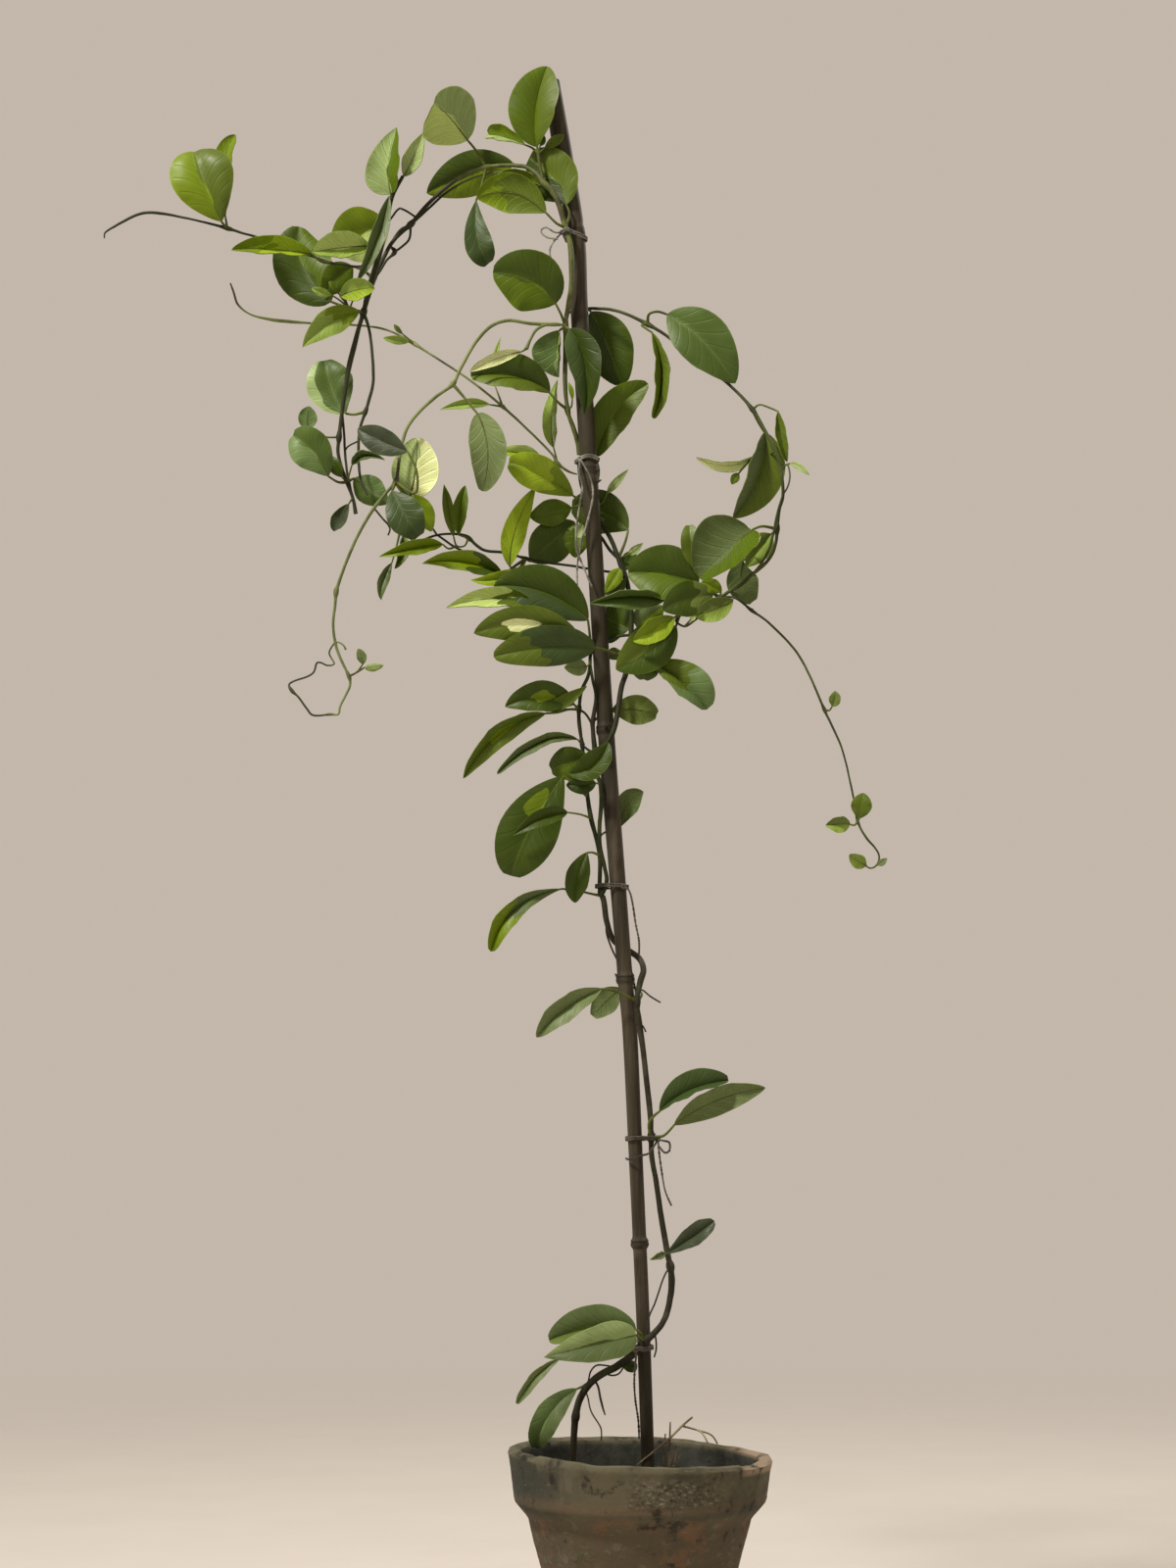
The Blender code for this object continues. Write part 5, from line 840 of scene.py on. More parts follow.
crown_leaves = """
549.5 157 -14; 548 150 -15, 547 111 -20, 559 66 -16; 56 3 45 oval top rich mid right
549.5 157 -14, 543 151 -11; 536 148 -8, 514 140 6, 495 137 18; 25 70 25 blunt under lit pale left
549.5 157 -14; 556 151 -16, 566 144 -20, 575 138 -24; 10 10 10 oval under mid
549.5 157 -14; 551 149 -16, 554 143 -17, 553 136 -17; 6 5 5 long top deep
577 232 -15, 581 219 -13; 578 209 -11.5, 566 183 -8.6, 538 160 -5; 52 -14 6 blunt top mid dark left
577 232 -15, 568 228 -19; 557 217 -20, 522 197 -18, 486 203 -10; 40 5 5 oval under mid lit tip
555 187 -12; 551 189 -11, 524 186 -6, 493 196 2; 28 10 20 oval under lit rich left
527 169 1; 524 167 8, 481 177 22, 436 197 28; 44 3 0 oval top deep lit left
496 171 8, 492 188 3; 486 204 -1, 487 242 -8, 499 269 -4; 29 12 12 spoon top teal
496 171 8, 486 154 4; 477 143 0, 458 119 -16, 445 107 -34; 65 -5 -20 round under bright mint right
411 180 -4; 412 180 -6, 422 160 -12, 432 135 -16; 20 20 30 long under pale
400 201 -2; 399 198 -4, 397 167 -9, 405 129 -7; 47 5 65 egg under mint rich right
394 231 0; 396 231 6, 366 240 14, 340 249 18; 55 5 5 round top lit bright left
388 256 2; 377 251 -5, 347 253 -16, 319 257 -20; 37 60 25 oval under bright fresh left
394 231 0; 397 200 -5, 384 246 -9, 364 288 -9; 21 40 45 long top moss
380 284 6, 371 276 9; 360 272 10, 345 283 10, 330 300 8; 30 5 5 oval top rich
357 315 4, 346 311 9; 338 308 13, 309 271 19, 305 231 17; 59 3 5 round top deep rich right
337 268 -3, 328 267 -7; 319 260 -10, 280 255 -20, 236 255 -24; 30 75 15 oval under sun lit tip
357 315 4, 352 308 0; 347 302 -6, 364 296 -12, 382 294 -14; 24 10 35 oval under fresh sun right
357 315 4, 346 306 -1; 338 301 -4, 328 298 -7, 318 294 -9; 9 10 20 oval top fresh
353 307 0; 343 297 -5, 340 292 -7, 336 287 -8; 7 10 20 oval top rich
371 319 10; 367 318 4, 335 330 -6, 309 354 -10; 29 20 20 long top fresh lit base
232 233 -27, 229 230 -30; 226 226 -32, 208 184 -40, 198 150 -36; 64 3 6 blunt top mid lit left
232 233 -27; 230 221 -24, 229 168 -17, 241 137 -13; 24 5 60 oval under lit
373 420 8, 362 423 12; 353 422 18, 339 398 23, 331 367 21; 48 3 10 blunt top green mint edge
346 446 12, 333 446 15, 322 441 17; 314 439 18, 314 427 18, 316 414 18; 19 5 5 oval under sage
354 492 12, 345 492 7; 335 486 3, 319 461 -4, 297 443 -5; 42 10 15 blunt top green sage left
354 492 12; 349 487 9, 342 476 8, 335 465 9; 14 10 10 oval top deep
354 492 12, 357 482 6; 359 475 1, 372 465 -4, 392 469 -10; 20 55 65 long top moss
354 492 12; 361 488 17, 377 500 20, 395 513 18; 30 5 5 oval top sage green right
360 508 12; 356 514 8, 345 531 3, 341 541 0; 16 20 20 oval under slate
577 333 -9, 573 322 -14; 567 310 -18, 540 286.5 -26, 503 278 -28; 62 5 3 round top deep rich left
577 333 -9; 571 337 -5, 569 360 0, 570 384 3; 52 88 5 oval under mint sage right
579 418 -3, 570 411 -8; 561 401 -11, 528 385 -18, 481 384 -22; 47 60 0 blunt top deep mid left
577 333 -9; 581 336 -14, 597 372 -24, 596 423 -19; 40 30 35 long top dark teal right
579 418 -3, 583 415 -7; 584 408 -10, 583 399 -12, 580 390 -12; 5 5 5 oval top lit
"""
pale_leaves = """
537 356 -24; 532 359 -26, 507 366 -33, 480 379 -36; 13 15 15 oval under cream
462 392 -32, 474 406 -35; 487 422 -38, 498 460 -46, 492 501 -44; 38 8 15 round under grey
404 491 -40, 411 501 -36; 418 509 -33, 424 478 -31, 426 446 -29; 47 0 0 round under pale cream right
404 491 -40, 415 500 -50, 425 502 -57, 425 480 -60; 416 461 -58, 389 450 -54, 364 437 -50; 28 10 15 oval top slate
404 491 -40; 400 501 -45, 412 524 -51, 427 546 -51; 38 8 12 blunt top teal
404 491 -40, 415 500 -40; 423 505 -38, 432 522 -34, 440 542 -31; 21 5 5 oval top lit
356 690 -32, 364 686 -34; 370 678 -36, 369 670 -38, 365 662 -39; 10 10 20 oval under grey
364 686 -34; 372 681 -37, 381 681 -40, 391 679 -42; 9 10 20 oval top olive pale left
"""
thin_leaves = """
569 473 2; 565 457 1, 563 425 3, 569 387 5; 20 -20 -60 long under fresh
569 473 2; 552 468 -3, 533 463 -8, 510 461 -11; 19 55 20 oval top sun bright right
513 415 -8; 500 413 -11, 476 413 -14, 449 418 -16; 13 55 20 long top fresh
513 415 -8, 509 404 -5; 506 396 -2, 504 375 2, 511 344 3; 9 10 20 long top fresh
423 351 2; 417 349 -1, 405 347 -4, 391 345 -6; 9 10 20 oval top fresh
423 351 2; 411 341 0, 406 336 -2, 402 331 -3; 5 10 10 oval under olive
"""
loop_leaves = """
600 315 12; 603 318 16, 617 346 24, 634 389 22; 51 5 5 blunt top deep dark right
661 331 -20, 662 321 -26, 671 318 -30; 681 321 -33, 716 347 -42, 750 391 -38; 56 5 28 oval top green
661 331 -20, 655 332 -26; 665 339 -30, 675 381 -33, 667 426 -30; 29 55 65 blunt top mid
768 418 -42, 775 413 -47, 785 416 -50; 794 420 -52, 797 446 -55, 803 471 -54; 15 40 50 oval under mid
768 418 -42, 774 431 -39; 780 441 -37, 775 484 -34, 748 528 -30; 49 5 60 oval top moss mid left
791 460 -47, 783 465 -32; 768 466 -26, 743 475 -27, 711 467 -33; 15 20 65 oval under cream
768 467 -26, 757 479 -26; 754 483 -26, 750 488 -26, 747 494 -26; 9 5 5 oval top mid
803 474 -53; 806 473 -55, 815 476 -58, 826 485 -60; 7 10 10 oval top pale
793 540 -46, 778 537 -51; 767 541 -54, 742 563 -58, 714 590 -54; 79 66 0 round under moss rich left
734 610 -23, 722 598 -24; 712 583 -26, 707 560 -30, 703 535 -32; 23 10 15 blunt top mid grey right
734 610 -23, 724 601 -22; 713 595 -21, 677 586 -17, 641 584 -13; 60 35 3 round top deep rich left
779 577 -40, 769 568 -36; 758 572 -31, 757 592 -27, 768 613 -25; 32 3 5 blunt under moss
793 540 -46; 787 545 -42, 776 558 -39, 762 578 -35; 26 5 15 oval top mid fresh left
734 610 -23; 748 612 -26, 729 622 -26, 708 628 -23; 24 10 15 oval under olive fresh left
734 610 -23; 736 604 -25, 727 598 -27, 716 594 -29; 15 10 10 oval top lit
693 628 -10, 688 618 -14; 679 612 -17, 642 609 -24, 602 616 -26; 34 42 65 long top green
693 628 -10; 688 630 -15, 668 643 -22, 646 654 -23; 26 20 30 oval top sun lit right
693 628 -10; 690 639 -10, 662 662 -12, 629 683 -12; 46 12 10 oval top deep mid right
699 639 -13; 704 633 -16, 707 630 -18, 710 626 -20; 6 10 10 oval under cream
841 724 -52, 846 725 -54; 849 721 -56, 852 714 -58, 852 705 -59; 13 10 30 oval top olive
875 838 -57; 877 835 -59, 879 822 -62, 881 809 -63; 21 5 5 oval top mid
875 838 -57, 872 842 -59; 867 841 -60, 856 841 -64, 843 842 -66; 19 20 35 oval top olive fresh left
880 881 -48; 884 883 -49, 876 879 -52, 867 872 -54; 15 10 20 oval under fresh
895 882 -50; 896 883 -51, 900 880 -52, 905 876 -53; 7 10 10 oval top grey
734 610 -23; 728 606 -24, 702 611 -30, 677 622 -33; 36 5 5 oval top deep olive base
"""
# Where each outline is widest, how full it is toward base and tip, and how far its tip runs on and
# hooks down.
outlines = {
    "oval": (0.50, 0.75, 0.68, 0.0, 0.003),
    "blunt": (0.58, 0.80, 0.50, 0.0016, 0.006),
    "long": (0.42, 0.80, 0.88, 0.0, 0.002),
    "round": (0.45, 0.55, 0.55, 0.0008, 0.002),
    "spoon": (0.68, 0.95, 0.45, 0.0012, 0.005),
    "egg": (0.28, 0.45, 0.90, 0.0, 0.002),
}
# lit, sun and bright are painted sunlight, dark is painted shade, and cream is also a painted glint.
greens = {
    "dark": (0.026, 0.046, 0.001),
    "deep": (0.045, 0.074, 0.003),
    "teal": (0.044, 0.072, 0.017),
    "rich": (0.075, 0.120, 0.001),
    "green": (0.070, 0.114, 0.020),
    "mid": (0.092, 0.132, 0.010),
    "moss": (0.092, 0.128, 0.042),
    "olive": (0.122, 0.164, 0.035),
    "lit": (0.150, 0.218, 0.004),
    "fresh": (0.240, 0.340, 0.060),
    "sun": (0.255, 0.355, 0.014),
    "grey": (0.156, 0.202, 0.080),
    "pale": (0.330, 0.420, 0.170),
    "bright": (0.480, 0.600, 0.190),
    "cream": (0.720, 0.770, 0.400),
    "sage": (0.125, 0.190, 0.062),
    "mint": (0.290, 0.385, 0.155),
    "slate": (0.052, 0.068, 0.036),
    "reverse": (0.2348, 0.3048, 0.1060),
}
stalk_radius = 0.0011
rib_radius = 0.00065
rib_end_radius = 0.00012
rib_rise = 0.00022
blade_thickness = 0.00062
blade_rows = 20
blade_columns = 10
full_size_width = 30
stalk_fade_rows = 6

alone()
bpy.ops.mesh.primitive_grid_add(x_subdivisions=blade_columns, y_subdivisions=blade_rows, size=2)
flat_blade = bpy.context.object
flat_blade.name = "flat_blade"


def spread(part, belly, at_base, at_tip):
    """The half width of a blade at a part of its length, as a share of its widest."""
    if part < belly:
        return math.sin(part / belly * math.pi / 2) ** at_base
    return math.sin(max(0.0, 1 - part) / (1 - belly) * math.pi / 2) ** at_tip


def soft_step(low, high, value):
    share = min(1, max(0, (value - low) / (high - low)))
    return share * share * (3 - 2 * share)


def painted_light_share(where, across, along, wobble):
    """How deep in the second green, a painted sun, shade or glint patch, a point of a blade lies: the patch ends
    where this is half.
    """
    low, high, value = {
        "tip": (0.38, 0.80, along),
        "base": (0.58, 0.16, along),
        "left": (-0.30, 0.40, across),
        "right": (-0.30, 0.40, -across),
        "edge": (0.30, 0.96, across),
        "spot": (0.42, 0.08, math.hypot((across + 0.3) * 0.8, (along - 0.3) * 2.0)),
        "middle": (0.62, 0.10, math.hypot(across * 0.9, (along - 0.5) * 2.0)),
    }[where]
    return soft_step(low, high, value + wobble)


def blade(row, luck):
    """One leaf's blade, shaped from a copy of the flat one, with the line of its stalk and rib."""
    stalk, rib, form = row.split(";")
    base, middle, tip = (spot(*p) for p in points_in(rib))
    width, left, right = map(float, form.split()[:3])
    outline, face, tone, *patch = form.split()[3:]
    # The second green and where it lies: a painted sunlit or shaded part of the blade, or a painted glint.
    second, where = patch or (tone, "tip")
    belly, at_base, at_tip, ahead, hook = outlines[outline]
    half = 0.51 * width * pixel_at(middle)
    phase = luck.uniform(0, math.tau)
    camber = luck.uniform(0.05, 0.12)
    shade = luck.uniform(0.94, 1.07)
    small = min(1.0, width / full_size_width)
    pull = middle * 2 - (base + tip) / 2
    made = flat_blade.copy()
    mesh = made.data = flat_blade.data.copy()
    scene.collection.objects.link(made)
    # Each face's green, with its share of the painted light patch as alpha, and the patch's own green.
    for key in ("top_colour", "top_painted_light", "under_colour", "under_painted_light"):
        mesh.color_attributes.new(key, "FLOAT_COLOR", "POINT")
    stations = []
    for k in range(blade_rows + 1):
        even = k / blade_rows
        part = 0.35 * even + 0.65 * (1 - math.cos(math.pi * even)) / 2
        centre = base * (1 - part) ** 2 + pull * (2 * part * (1 - part)) + tip * part**2
        slope = (pull - base) * (2 * (1 - part)) + (tip - pull) * (2 * part)
        along = slope.normalized()
        side = along.cross(centre - eye).normalized()
        front = along.cross(side).normalized()
        near_tip = max(0.0, (part - 0.7) / 0.3) ** 2
        centre = centre - front * (hook * small * near_tip)
        stations.append((part, centre, along, side, front, near_tip))
    shows, rear, hidden, towards = ("top", "under", greens["reverse"], 1)
    if face == "under":
        shows, rear, hidden, towards = ("under", "top", greens["mid"], -1)
    for vert in mesh.vertices:
        across = vert.co.x
        part, centre, along, side, front, near_tip = stations[round((vert.co.y + 1) / 2 * blade_rows)]
        hand = 1 if across >= 0 else -1
        turn = math.radians(left if hand > 0 else right)
        out = side * (hand * math.cos(turn)) + front * math.sin(turn)
        away = out.cross(along) * hand
        if away.dot(front) < 0:
            away = -away
        share = max(spread(part, belly, at_base, at_tip), 0.012)
        reach = abs(across)
        wave = math.sin(math.tau * 2.5 * part + phase + hand) * 0.0009 * small
        ripple = math.sin(math.tau * 6.0 * part + phase * 2 - hand) * 0.00035 * small
        lead = ahead * small * near_tip if part < 0.995 else 0.0
        arch = camber * half * share * math.sin(math.pi * reach)
        point = centre + out * (half * share * reach) + along * (lead * reach)
        vert.co = point + away * ((wave + ripple) * share * reach**2 + arch * towards)
        wobble = 0.10 * math.sin(7 * part + 3 * across + phase)
        wobble += 0.06 * math.sin(15 * part - 8 * across + phase * 3)
        # How far this point lies in the painted sun or shade patch.
        mix = painted_light_share(where, across, part, wobble) if patch else 0.0
        tint = shade * (1 + 0.07 * math.sin(5 * part + phase) + 0.04 * across)
        for key, green, last in (
            (shows + "_colour", greens[tone], mix), (shows + "_painted_light", greens[second], 1),
            (rear + "_colour", hidden, mix), (rear + "_painted_light", hidden, 1),
        ):
            mesh.color_attributes[key].data[vert.index].color = (*(c * tint for c in green), last)
    middle_face = mesh.polygons[len(mesh.polygons) // 2]
    if middle_face.normal.dot(stations[blade_rows // 2][4]) * towards < 0:
        mesh.flip_normals()
    thin = stalk_radius * max(0.7, small)
    ridge = [centre - front * (towards * rib_rise) for _, centre, _, _, front, _ in stations[:-1]]
    ridge_radii = []
    for k in range(blade_rows):
        radius = max(rib_radius * small * (1 - k / blade_rows) ** 0.7, rib_end_radius)
        if k < stalk_fade_rows:
            radius = max(radius, thin * 0.8 * (1 - 0.9 * k / blade_rows))
        ridge_radii.append(radius)
    stalk = [(*spot(*p), thin * (1.0 if k else 1.35)) for k, p in enumerate(points_in(stalk))]
    stalk = smoothed([*stalk, (*ridge[0], thin * 0.85)], 4)[:-1]
    points = [off_the_cane(Vector(row[:3]), row[3]) for row in stalk]
    return made, (points + ridge, [row[3] for row in stalk] + ridge_radii)


def leaf_face(name, side, roughness, pale_veins, gloss, relief):
    """One face of a leaf: its greens with their painted sun and shade patches, paired veins that arch to the
    edge, and a fine net between.
    """
    made, shader, place = finish(name, Specular_IOR_Level=gloss)
    flat = place.out("ShaderNodeUVMap", {"uv_map": "UVMap"})
    first = place.out("ShaderNodeAttribute", {"attribute_name": side + "_colour"})
    share = place.out("ShaderNodeAttribute", {"attribute_name": side + "_colour"}, output=3)
    second = place.out("ShaderNodeAttribute", {"attribute_name": side + "_painted_light"})
    across = (flat.part("X") - 0.5) * 2.0
    along = flat.part("Y")
    out = across.math("ABSOLUTE", across)
    hand = across.math("SIGN", across)
    # A crisp edge between the face's green and its painted sun or shade patch.
    tone = (share + (place.cloud(70, 3) - 0.5) * 0.22).step(0.47, 0.53).blend(first, second)
    count = along * 8.0 - out * 2.6 + out * out * 1.1 + hand * 0.23 + place.cloud(60, 2) * 0.05
    wave = count.math("FRACT", count) - 0.5
    away = wave.math("ABSOLUTE", wave)
    side_vein = (1 - away.step(0.02, 0.10)) * (1 - out.step(0.78, 0.97))
    side_vein = side_vein * along.within(0.02, 0.10, 0.88, 0.97)
    rib = 1 - out.step(0.015, 0.060)
    net = place.cells(430, "DISTANCE_TO_EDGE").step(0.08, 0.02)
    mottled = place.cloud(90, 5, 0.6)
    dull = tone.out("ShaderNodeVectorMath", {"operation": "MULTIPLY"}, i0=tone, i1=(0.78, 0.80, 0.60))
    bright = tone.out("ShaderNodeVectorMath", {"operation": "MULTIPLY_ADD"}, i0=tone,
                      i1=(1.30, 1.28, 1.30), i2=(0.030, 0.036, 0.008))
    coats = [(mottled.step(0.42, 0.66) * 0.4 + away.step(0.20, 0.5) * 0.35, dull)]
    if pale_veins:
        total = rib + side_vein * 0.55 + net * 0.10
        veins = total.math("MINIMUM", total, 1.0)
        coats += [(away.step(0.10, 0.40) * out.step(0.04, 0.12) * 0.55, dull), (veins * 0.75, bright)]
    else:
        coats += [(side_vein * 0.40, dull), (rib * 0.50, bright)]
    dots = place.cells(300).step(0.13, 0.08) * place.cloud(38, 2).step(0.50, 0.58)
    colour = tone.coated(*coats, (dots * 0.35, bright), (out.step(0.93, 1.0) * 0.45, bright))
    feed(shader, Base_Color=colour, Roughness=mottled * 0.16 + roughness)
    pillow = (1 - side_vein) * 0.8 + (1 - rib) * 0.5 + mottled * 0.1 - net * 0.1
    bumpy(shader, pillow, relief, 0.0009)
    return made


leaf_looks = (
    leaf_face("leaf_upper", "top", 0.36, False, 0.22, 0.3),
    leaf_face("leaf_under", "under", 0.50, True, 0.15, 0.9),
    stem_skin("leaf_stalk", (0.065, 0.080, 0.012), (0.110, 0.135, 0.022), (0.050, 0.052, 0.012),
              (0.20, 0.23, 0.08), 0.5),
)
for seed, (name, leaf_lines, node) in enumerate((
    ("trunk_leaves", lower_leaves, "lower_stem"),
    ("cane_leaves", middle_leaves, "middle_stems"),
    ("crown_leaves", crown_leaves, "crown_stem"),
    ("pale_leaves", pale_leaves, "pale_shoot"),
    ("thin_leaves", thin_leaves, "thin_shoot"),
    ("loop_leaves", loop_leaves, "right_loop"),
), 1):
    luck = random.Random(seed)
    grown = [blade(row, luck) for row in leaf_lines.strip().splitlines()]
    leaves = joined(name, *(made for made, _ in grown))
    leaves.data.materials.clear()
    for look in leaf_looks:
        leaves.data.materials.append(look)
    thick = leaves.modifiers.new("thick", "SOLIDIFY")
    thick.thickness = blade_thickness
    thick.offset = 0
    thick.material_offset = 1
    thick.material_offset_rim = 0
    apply_all(leaves)
    stalks = drawn(name + "_stalks", [line for _, line in grown], 8)
    stalks.data.materials.append(leaf_looks[2])
    leaves = joined(name, leaves, stalks)
    rounded(leaves, 55)
    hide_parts(node)
    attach(leaves, "root")
bpy.data.objects.remove(flat_blade)

# Five strings tie the vine to the cane: weathered two-strand twine, drawn once round both, knotted
# in front, with bows and loose ends left hanging.

# Each tie's row, the stems it binds, its knot's column, and its ends: columns, rows and depths.
ties = (
    ("tie_low", 1376, lower_routes[:1], 649,
     "649 1384 -21, 648 1394 -19, 647.2 1412 -15, 648.5 1430 -14, 651.3 1449 -13, 652.2 1468 -12"),
    ("tie_mid", 1163, lower_routes[:1], 671,
     "677 1164 -15, 683 1166 -16, 683 1174 -16, 678 1176 -15, 672 1169 -12;"
     "673 1180 -11, 676 1201 -12, 679 1216 -12, 685 1230 -11;"
     "663 1176 -11, 655 1179 -11, 647 1182 -11, 641 1183 -7, 639 1182 0"),
    ("tie_joint", 906, middle_routes[:2], 636,
     "642 909 -9, 645.5 922 -11, 648.5 942 -13, 652 960 -14, 652 974 -14"),
    ("tie_neck", 470, middle_routes[2:3], 592,
     "597 477 -14, 603 489 -15, 605 506 -15, 600 530 -14, 593 554 -13, 589 578 -12, 589 597 -12;"
     "591 484 -14, 594 498 -15, 589 532 -14, 588 558 -14, 596 580 -14, 604 599 -14"),
    ("tie_top", 245, crown_routes[:1], 572,
     "566 237 -22, 557 232 -23, 552 236 -22, 558 242 -22, 569 244 -21;"
     "564 248 -21, 561 256 -21, 562 265 -20"),
)
string_radius = 0.0010
string_gap = 0.0003
string_turns = 260
tie_reach = 0.024
tie_corners = 28
second_turn_rise = 0.0017
knot_lift = 0.0011
knot_coils = 2
coil_corners = 11


def hug(height, routes, clear):
    """A loop drawn tight round the cane and the stems beside it at a height."""
    middle, thick = cane_at(height)
    circles = [(middle, thick)]
    for route in routes:
        points, radii = stem_line(route)
        for a, b, r_a, r_b in zip(points, points[1:], radii, radii[1:]):
            if (a.z - height) * (b.z - height) > 0 or a.z == b.z:
                continue
            part = (height - a.z) / (b.z - a.z)
            place = a.lerp(b, part)
            if (place.xy - middle.xy).length < tie_reach:
                slant = max(abs((b - a).normalized().z), 0.6)
                circles.append((place, (r_a + (r_b - r_a) * part) / slant))
    loop = []
    for k in range(tie_corners):
        angle = math.tau * k / tie_corners
        way = Vector((math.cos(angle), math.sin(angle)))
        best = max(circles, key=lambda c: c[0].xy.dot(way) + c[1])
        point = best[0].xy + way * (best[1] + clear)
        loop.append(Vector((point.x, point.y, height + 0.0004 * math.sin(3 * angle))))
    return loop


def twisted(points, radius):
    """Two strands wound round each other along a line."""
    rows = [Vector(row) for row in smoothed([tuple(p) for p in points], 6)]
    run = 0.0
    lines = ([], [])
    for k, here in enumerate(rows):
        before = rows[max(k - 1, 0)]
        run += (here - before).length
        ahead = (rows[min(k + 1, len(rows) - 1)] - before).normalized()
        side = ahead.cross(Vector((0.3, 0.2, 1))).normalized()
        angle = math.tau * run * string_turns
        offset = (side * math.cos(angle) + ahead.cross(side) * math.sin(angle)) * radius * 0.45
        lines[0].append(here + offset)
        lines[1].append(here - offset)
    return [(line, [radius * 0.6] * len(line)) for line in lines]


def twine_look(name, dark, light, fluffy):
    made, shader, place = finish(name, Roughness=0.9, Specular_IOR_Level=0.2, Sheen_Weight=0.2)
    fluff = place.cloud(1400, 4, 0.7)
    colour = place.cloud(75, 3).step(0.42, 0.58).blend(dark, light)
    feed(shader, Base_Color=(fluff.step(0.5, 0.7) * 0.4).blend(colour, fluffy))
    bumpy(shader, fluff, 0.6, 0.0004)
    return made


old_twine = twine_look("old_twine", (0.030, 0.024, 0.017), (0.085, 0.070, 0.050), (0.120, 0.100, 0.075))
new_twine = twine_look("new_twine", (0.090, 0.085, 0.070), (0.270, 0.255, 0.215), (0.360, 0.340, 0.290))
for name, row, routes, knot_column, ends in ties:
    column, width = between(stake_line, row)
    loop = hug(spot(column, row, 0).z, routes, string_radius + string_gap)
    centre = sum(loop, Vector()) / len(loop)
    front = [p for p in loop if p.y < centre.y]
    knot = min(front, key=lambda p: abs(p.x - spot(knot_column, row, -10).x))
    knot = knot + (knot - centre).normalized() * knot_lift
    second = [p + Vector((0, 0, second_turn_rise)) for p in loop]
    strands = twisted(loop + loop[:1], string_radius) + twisted(second + second[:1], string_radius)
    for end in routes_in(ends):
        strands += twisted([knot] + [off_the_cane(spot(*p), string_radius) for p in end], string_radius)
    coil = []
    for k in range(knot_coils * coil_corners):
        angle = math.tau * k / coil_corners
        turn = Vector((math.cos(angle) * 0.0014, math.sin(angle * 0.5) * 0.0009, math.sin(angle) * 0.0013))
        coil.append(knot + turn)
    strands += twisted(coil, string_radius * 0.9)
    twine = drawn(name + "_twine", strands, 8)
    pick(twine)
    bpy.ops.object.shade_smooth()
    twine.data.materials.append(new_twine if name in ("tie_top", "tie_neck") else old_twine)
    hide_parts(name)
    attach(twine, "root")

# Litter in the pot's mouth: a dry branched stalk that leans on the cane, and a tuft of dead grass
# rooted in the soil.
stalk_routes = routes_in("""
706.5 1446 4 2.2, 696 1455 0 2.6, 685 1466 -3 2.6, 672 1477 -5 2.2, 661 1486 -5.4 1.8, 650 1495 -4 1.6;
696 1455 0 2.2, 711 1459 6 2, 725.5 1464 12 1.8, 732 1473 16 1.6;
711 1459 6 1.8, 717 1463 2 1.8, 722 1472 -2 1.6
""")
grass_routes = routes_in("""
684 1451 20 1.6, 683 1480 22 2.4, 682 1510 24 3, 682 1534 24 3;
679 1463 16 1.6, 677 1490 18 1.8, 682 1510 24 2;
690 1474 24 1.6, 688 1494 24 1.8, 682 1510 24 2
""")
tuft_root = (682, 1512, 24)
tuft_blades = 7
tuft_taper = ((0, 0.0006), (0.3, 0.0005), (0.6, 0.0004), (0.85, 0.0003), (1, 0.00015))
straw, shader, place = finish("dry_straw", Roughness=0.8, Specular_IOR_Level=0.25)
fine = place.stretched((1, 1, 0.15)).cloud(700, 5, 0.6)
colour = place.cloud(60, 3).step(0.4, 0.62).blend((0.15, 0.115, 0.065), (0.36, 0.30, 0.19))
colour = (fine.step(0.5, 0.7) * 0.5).blend(colour, (0.07, 0.05, 0.03))
feed(shader, Base_Color=colour)
bumpy(shader, fine, 0.4, 0.0004)
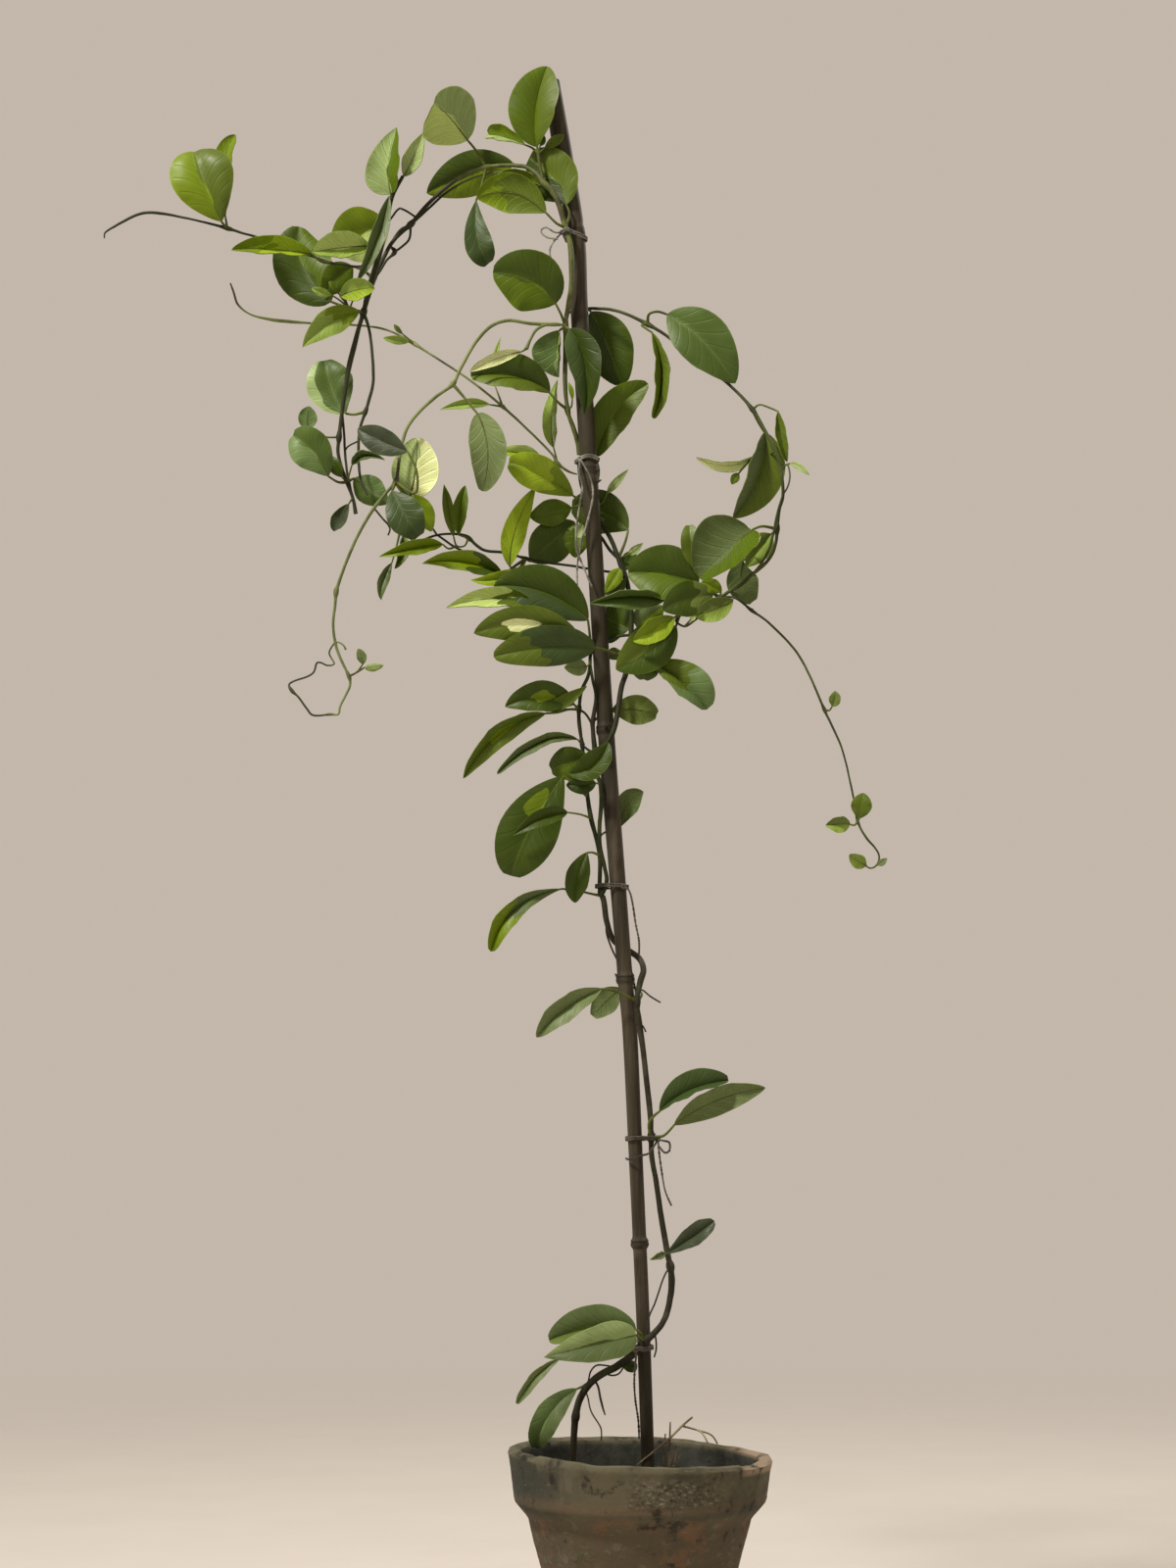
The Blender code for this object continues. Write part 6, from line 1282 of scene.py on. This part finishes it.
for name, node, routes in (
    ("fallen_stalk", "dry_stalk", stalk_routes),
    ("dead_grass", "grass_tuft", grass_routes),
):
    lines = [stem_line(route, 5) for route in routes]
    if node == "grass_tuft":
        luck = random.Random(9)
        root = spot(*tuft_root)
        for _ in range(tuft_blades):
            lean_x, lean_y = luck.uniform(-0.012, 0.012), luck.uniform(-0.010, 0.010)
            rise = luck.uniform(0.010, 0.030)
            points = [root + Vector((lean_x * t * t, lean_y * t * t, rise * t)) for t, _ in tuft_taper]
            lines.append((points, [radius for _, radius in tuft_taper]))
    bits = drawn(name, lines, 8)
    pick(bits)
    bpy.ops.object.shade_smooth()
    bits.data.materials.append(straw)
    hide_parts(node)
    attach(bits, "root")

# The studio: a pale floor that fades into the surround a few steps away, a large soft lamp high on
# the left, a smaller one behind on the right that rims the leaves, and an even pale surround.
floor_radius = 6
alone()
bpy.ops.mesh.primitive_circle_add(
    vertices=96, radius=floor_radius, fill_type="NGON", location=(0, 0, -0.0002)
)
floor = settle(bpy.context.object)
floor.name = "studio_floor"
ground, shader, place = finish("pale_floor", Roughness=0.9, Specular_IOR_Level=0.1)
distance = place.out("ShaderNodeVectorMath", {"operation": "LENGTH"}, output=1, i0=place)
grain = place.cloud(6, 4).step(0.3, 0.7)
feed(shader, Base_Color=grain.blend((0.60, 0.56, 0.51), (0.62, 0.58, 0.53)), Alpha=distance.step(3.4, 0.4))
floor.data.materials.append(ground)


def lamp(name, place, size, power, colour):
    """A round soft lamp that looks at the middle of the vine."""
    light = bpy.data.lights.new(name, "AREA")
    light.shape = "DISK"
    light.size = size
    light.energy = power
    light.color = colour
    made = bpy.data.objects.new(name, light)
    made.location = place
    made.rotation_euler = (Vector((0, 0, 0.8)) - Vector(place)).to_track_quat("-Z", "Y").to_euler()
    scene.collection.objects.link(made)


lamp("key_lamp", (-1.5, -1.5, 3.1), 0.45, 110, (1.0, 0.96, 0.88))
lamp("rim_lamp", (1.5, 1.6, 2.6), 0.8, 32, (1.0, 0.97, 0.92))
surround = bpy.data.worlds.new("surround")
surround.use_nodes = True
sky = surround.node_tree.nodes["Background"]
sky.inputs["Color"].default_value = (0.575, 0.500, 0.428, 1)
sky.inputs["Strength"].default_value = 0.95
scene.world = surround
scene.view_settings.view_transform = "Standard"
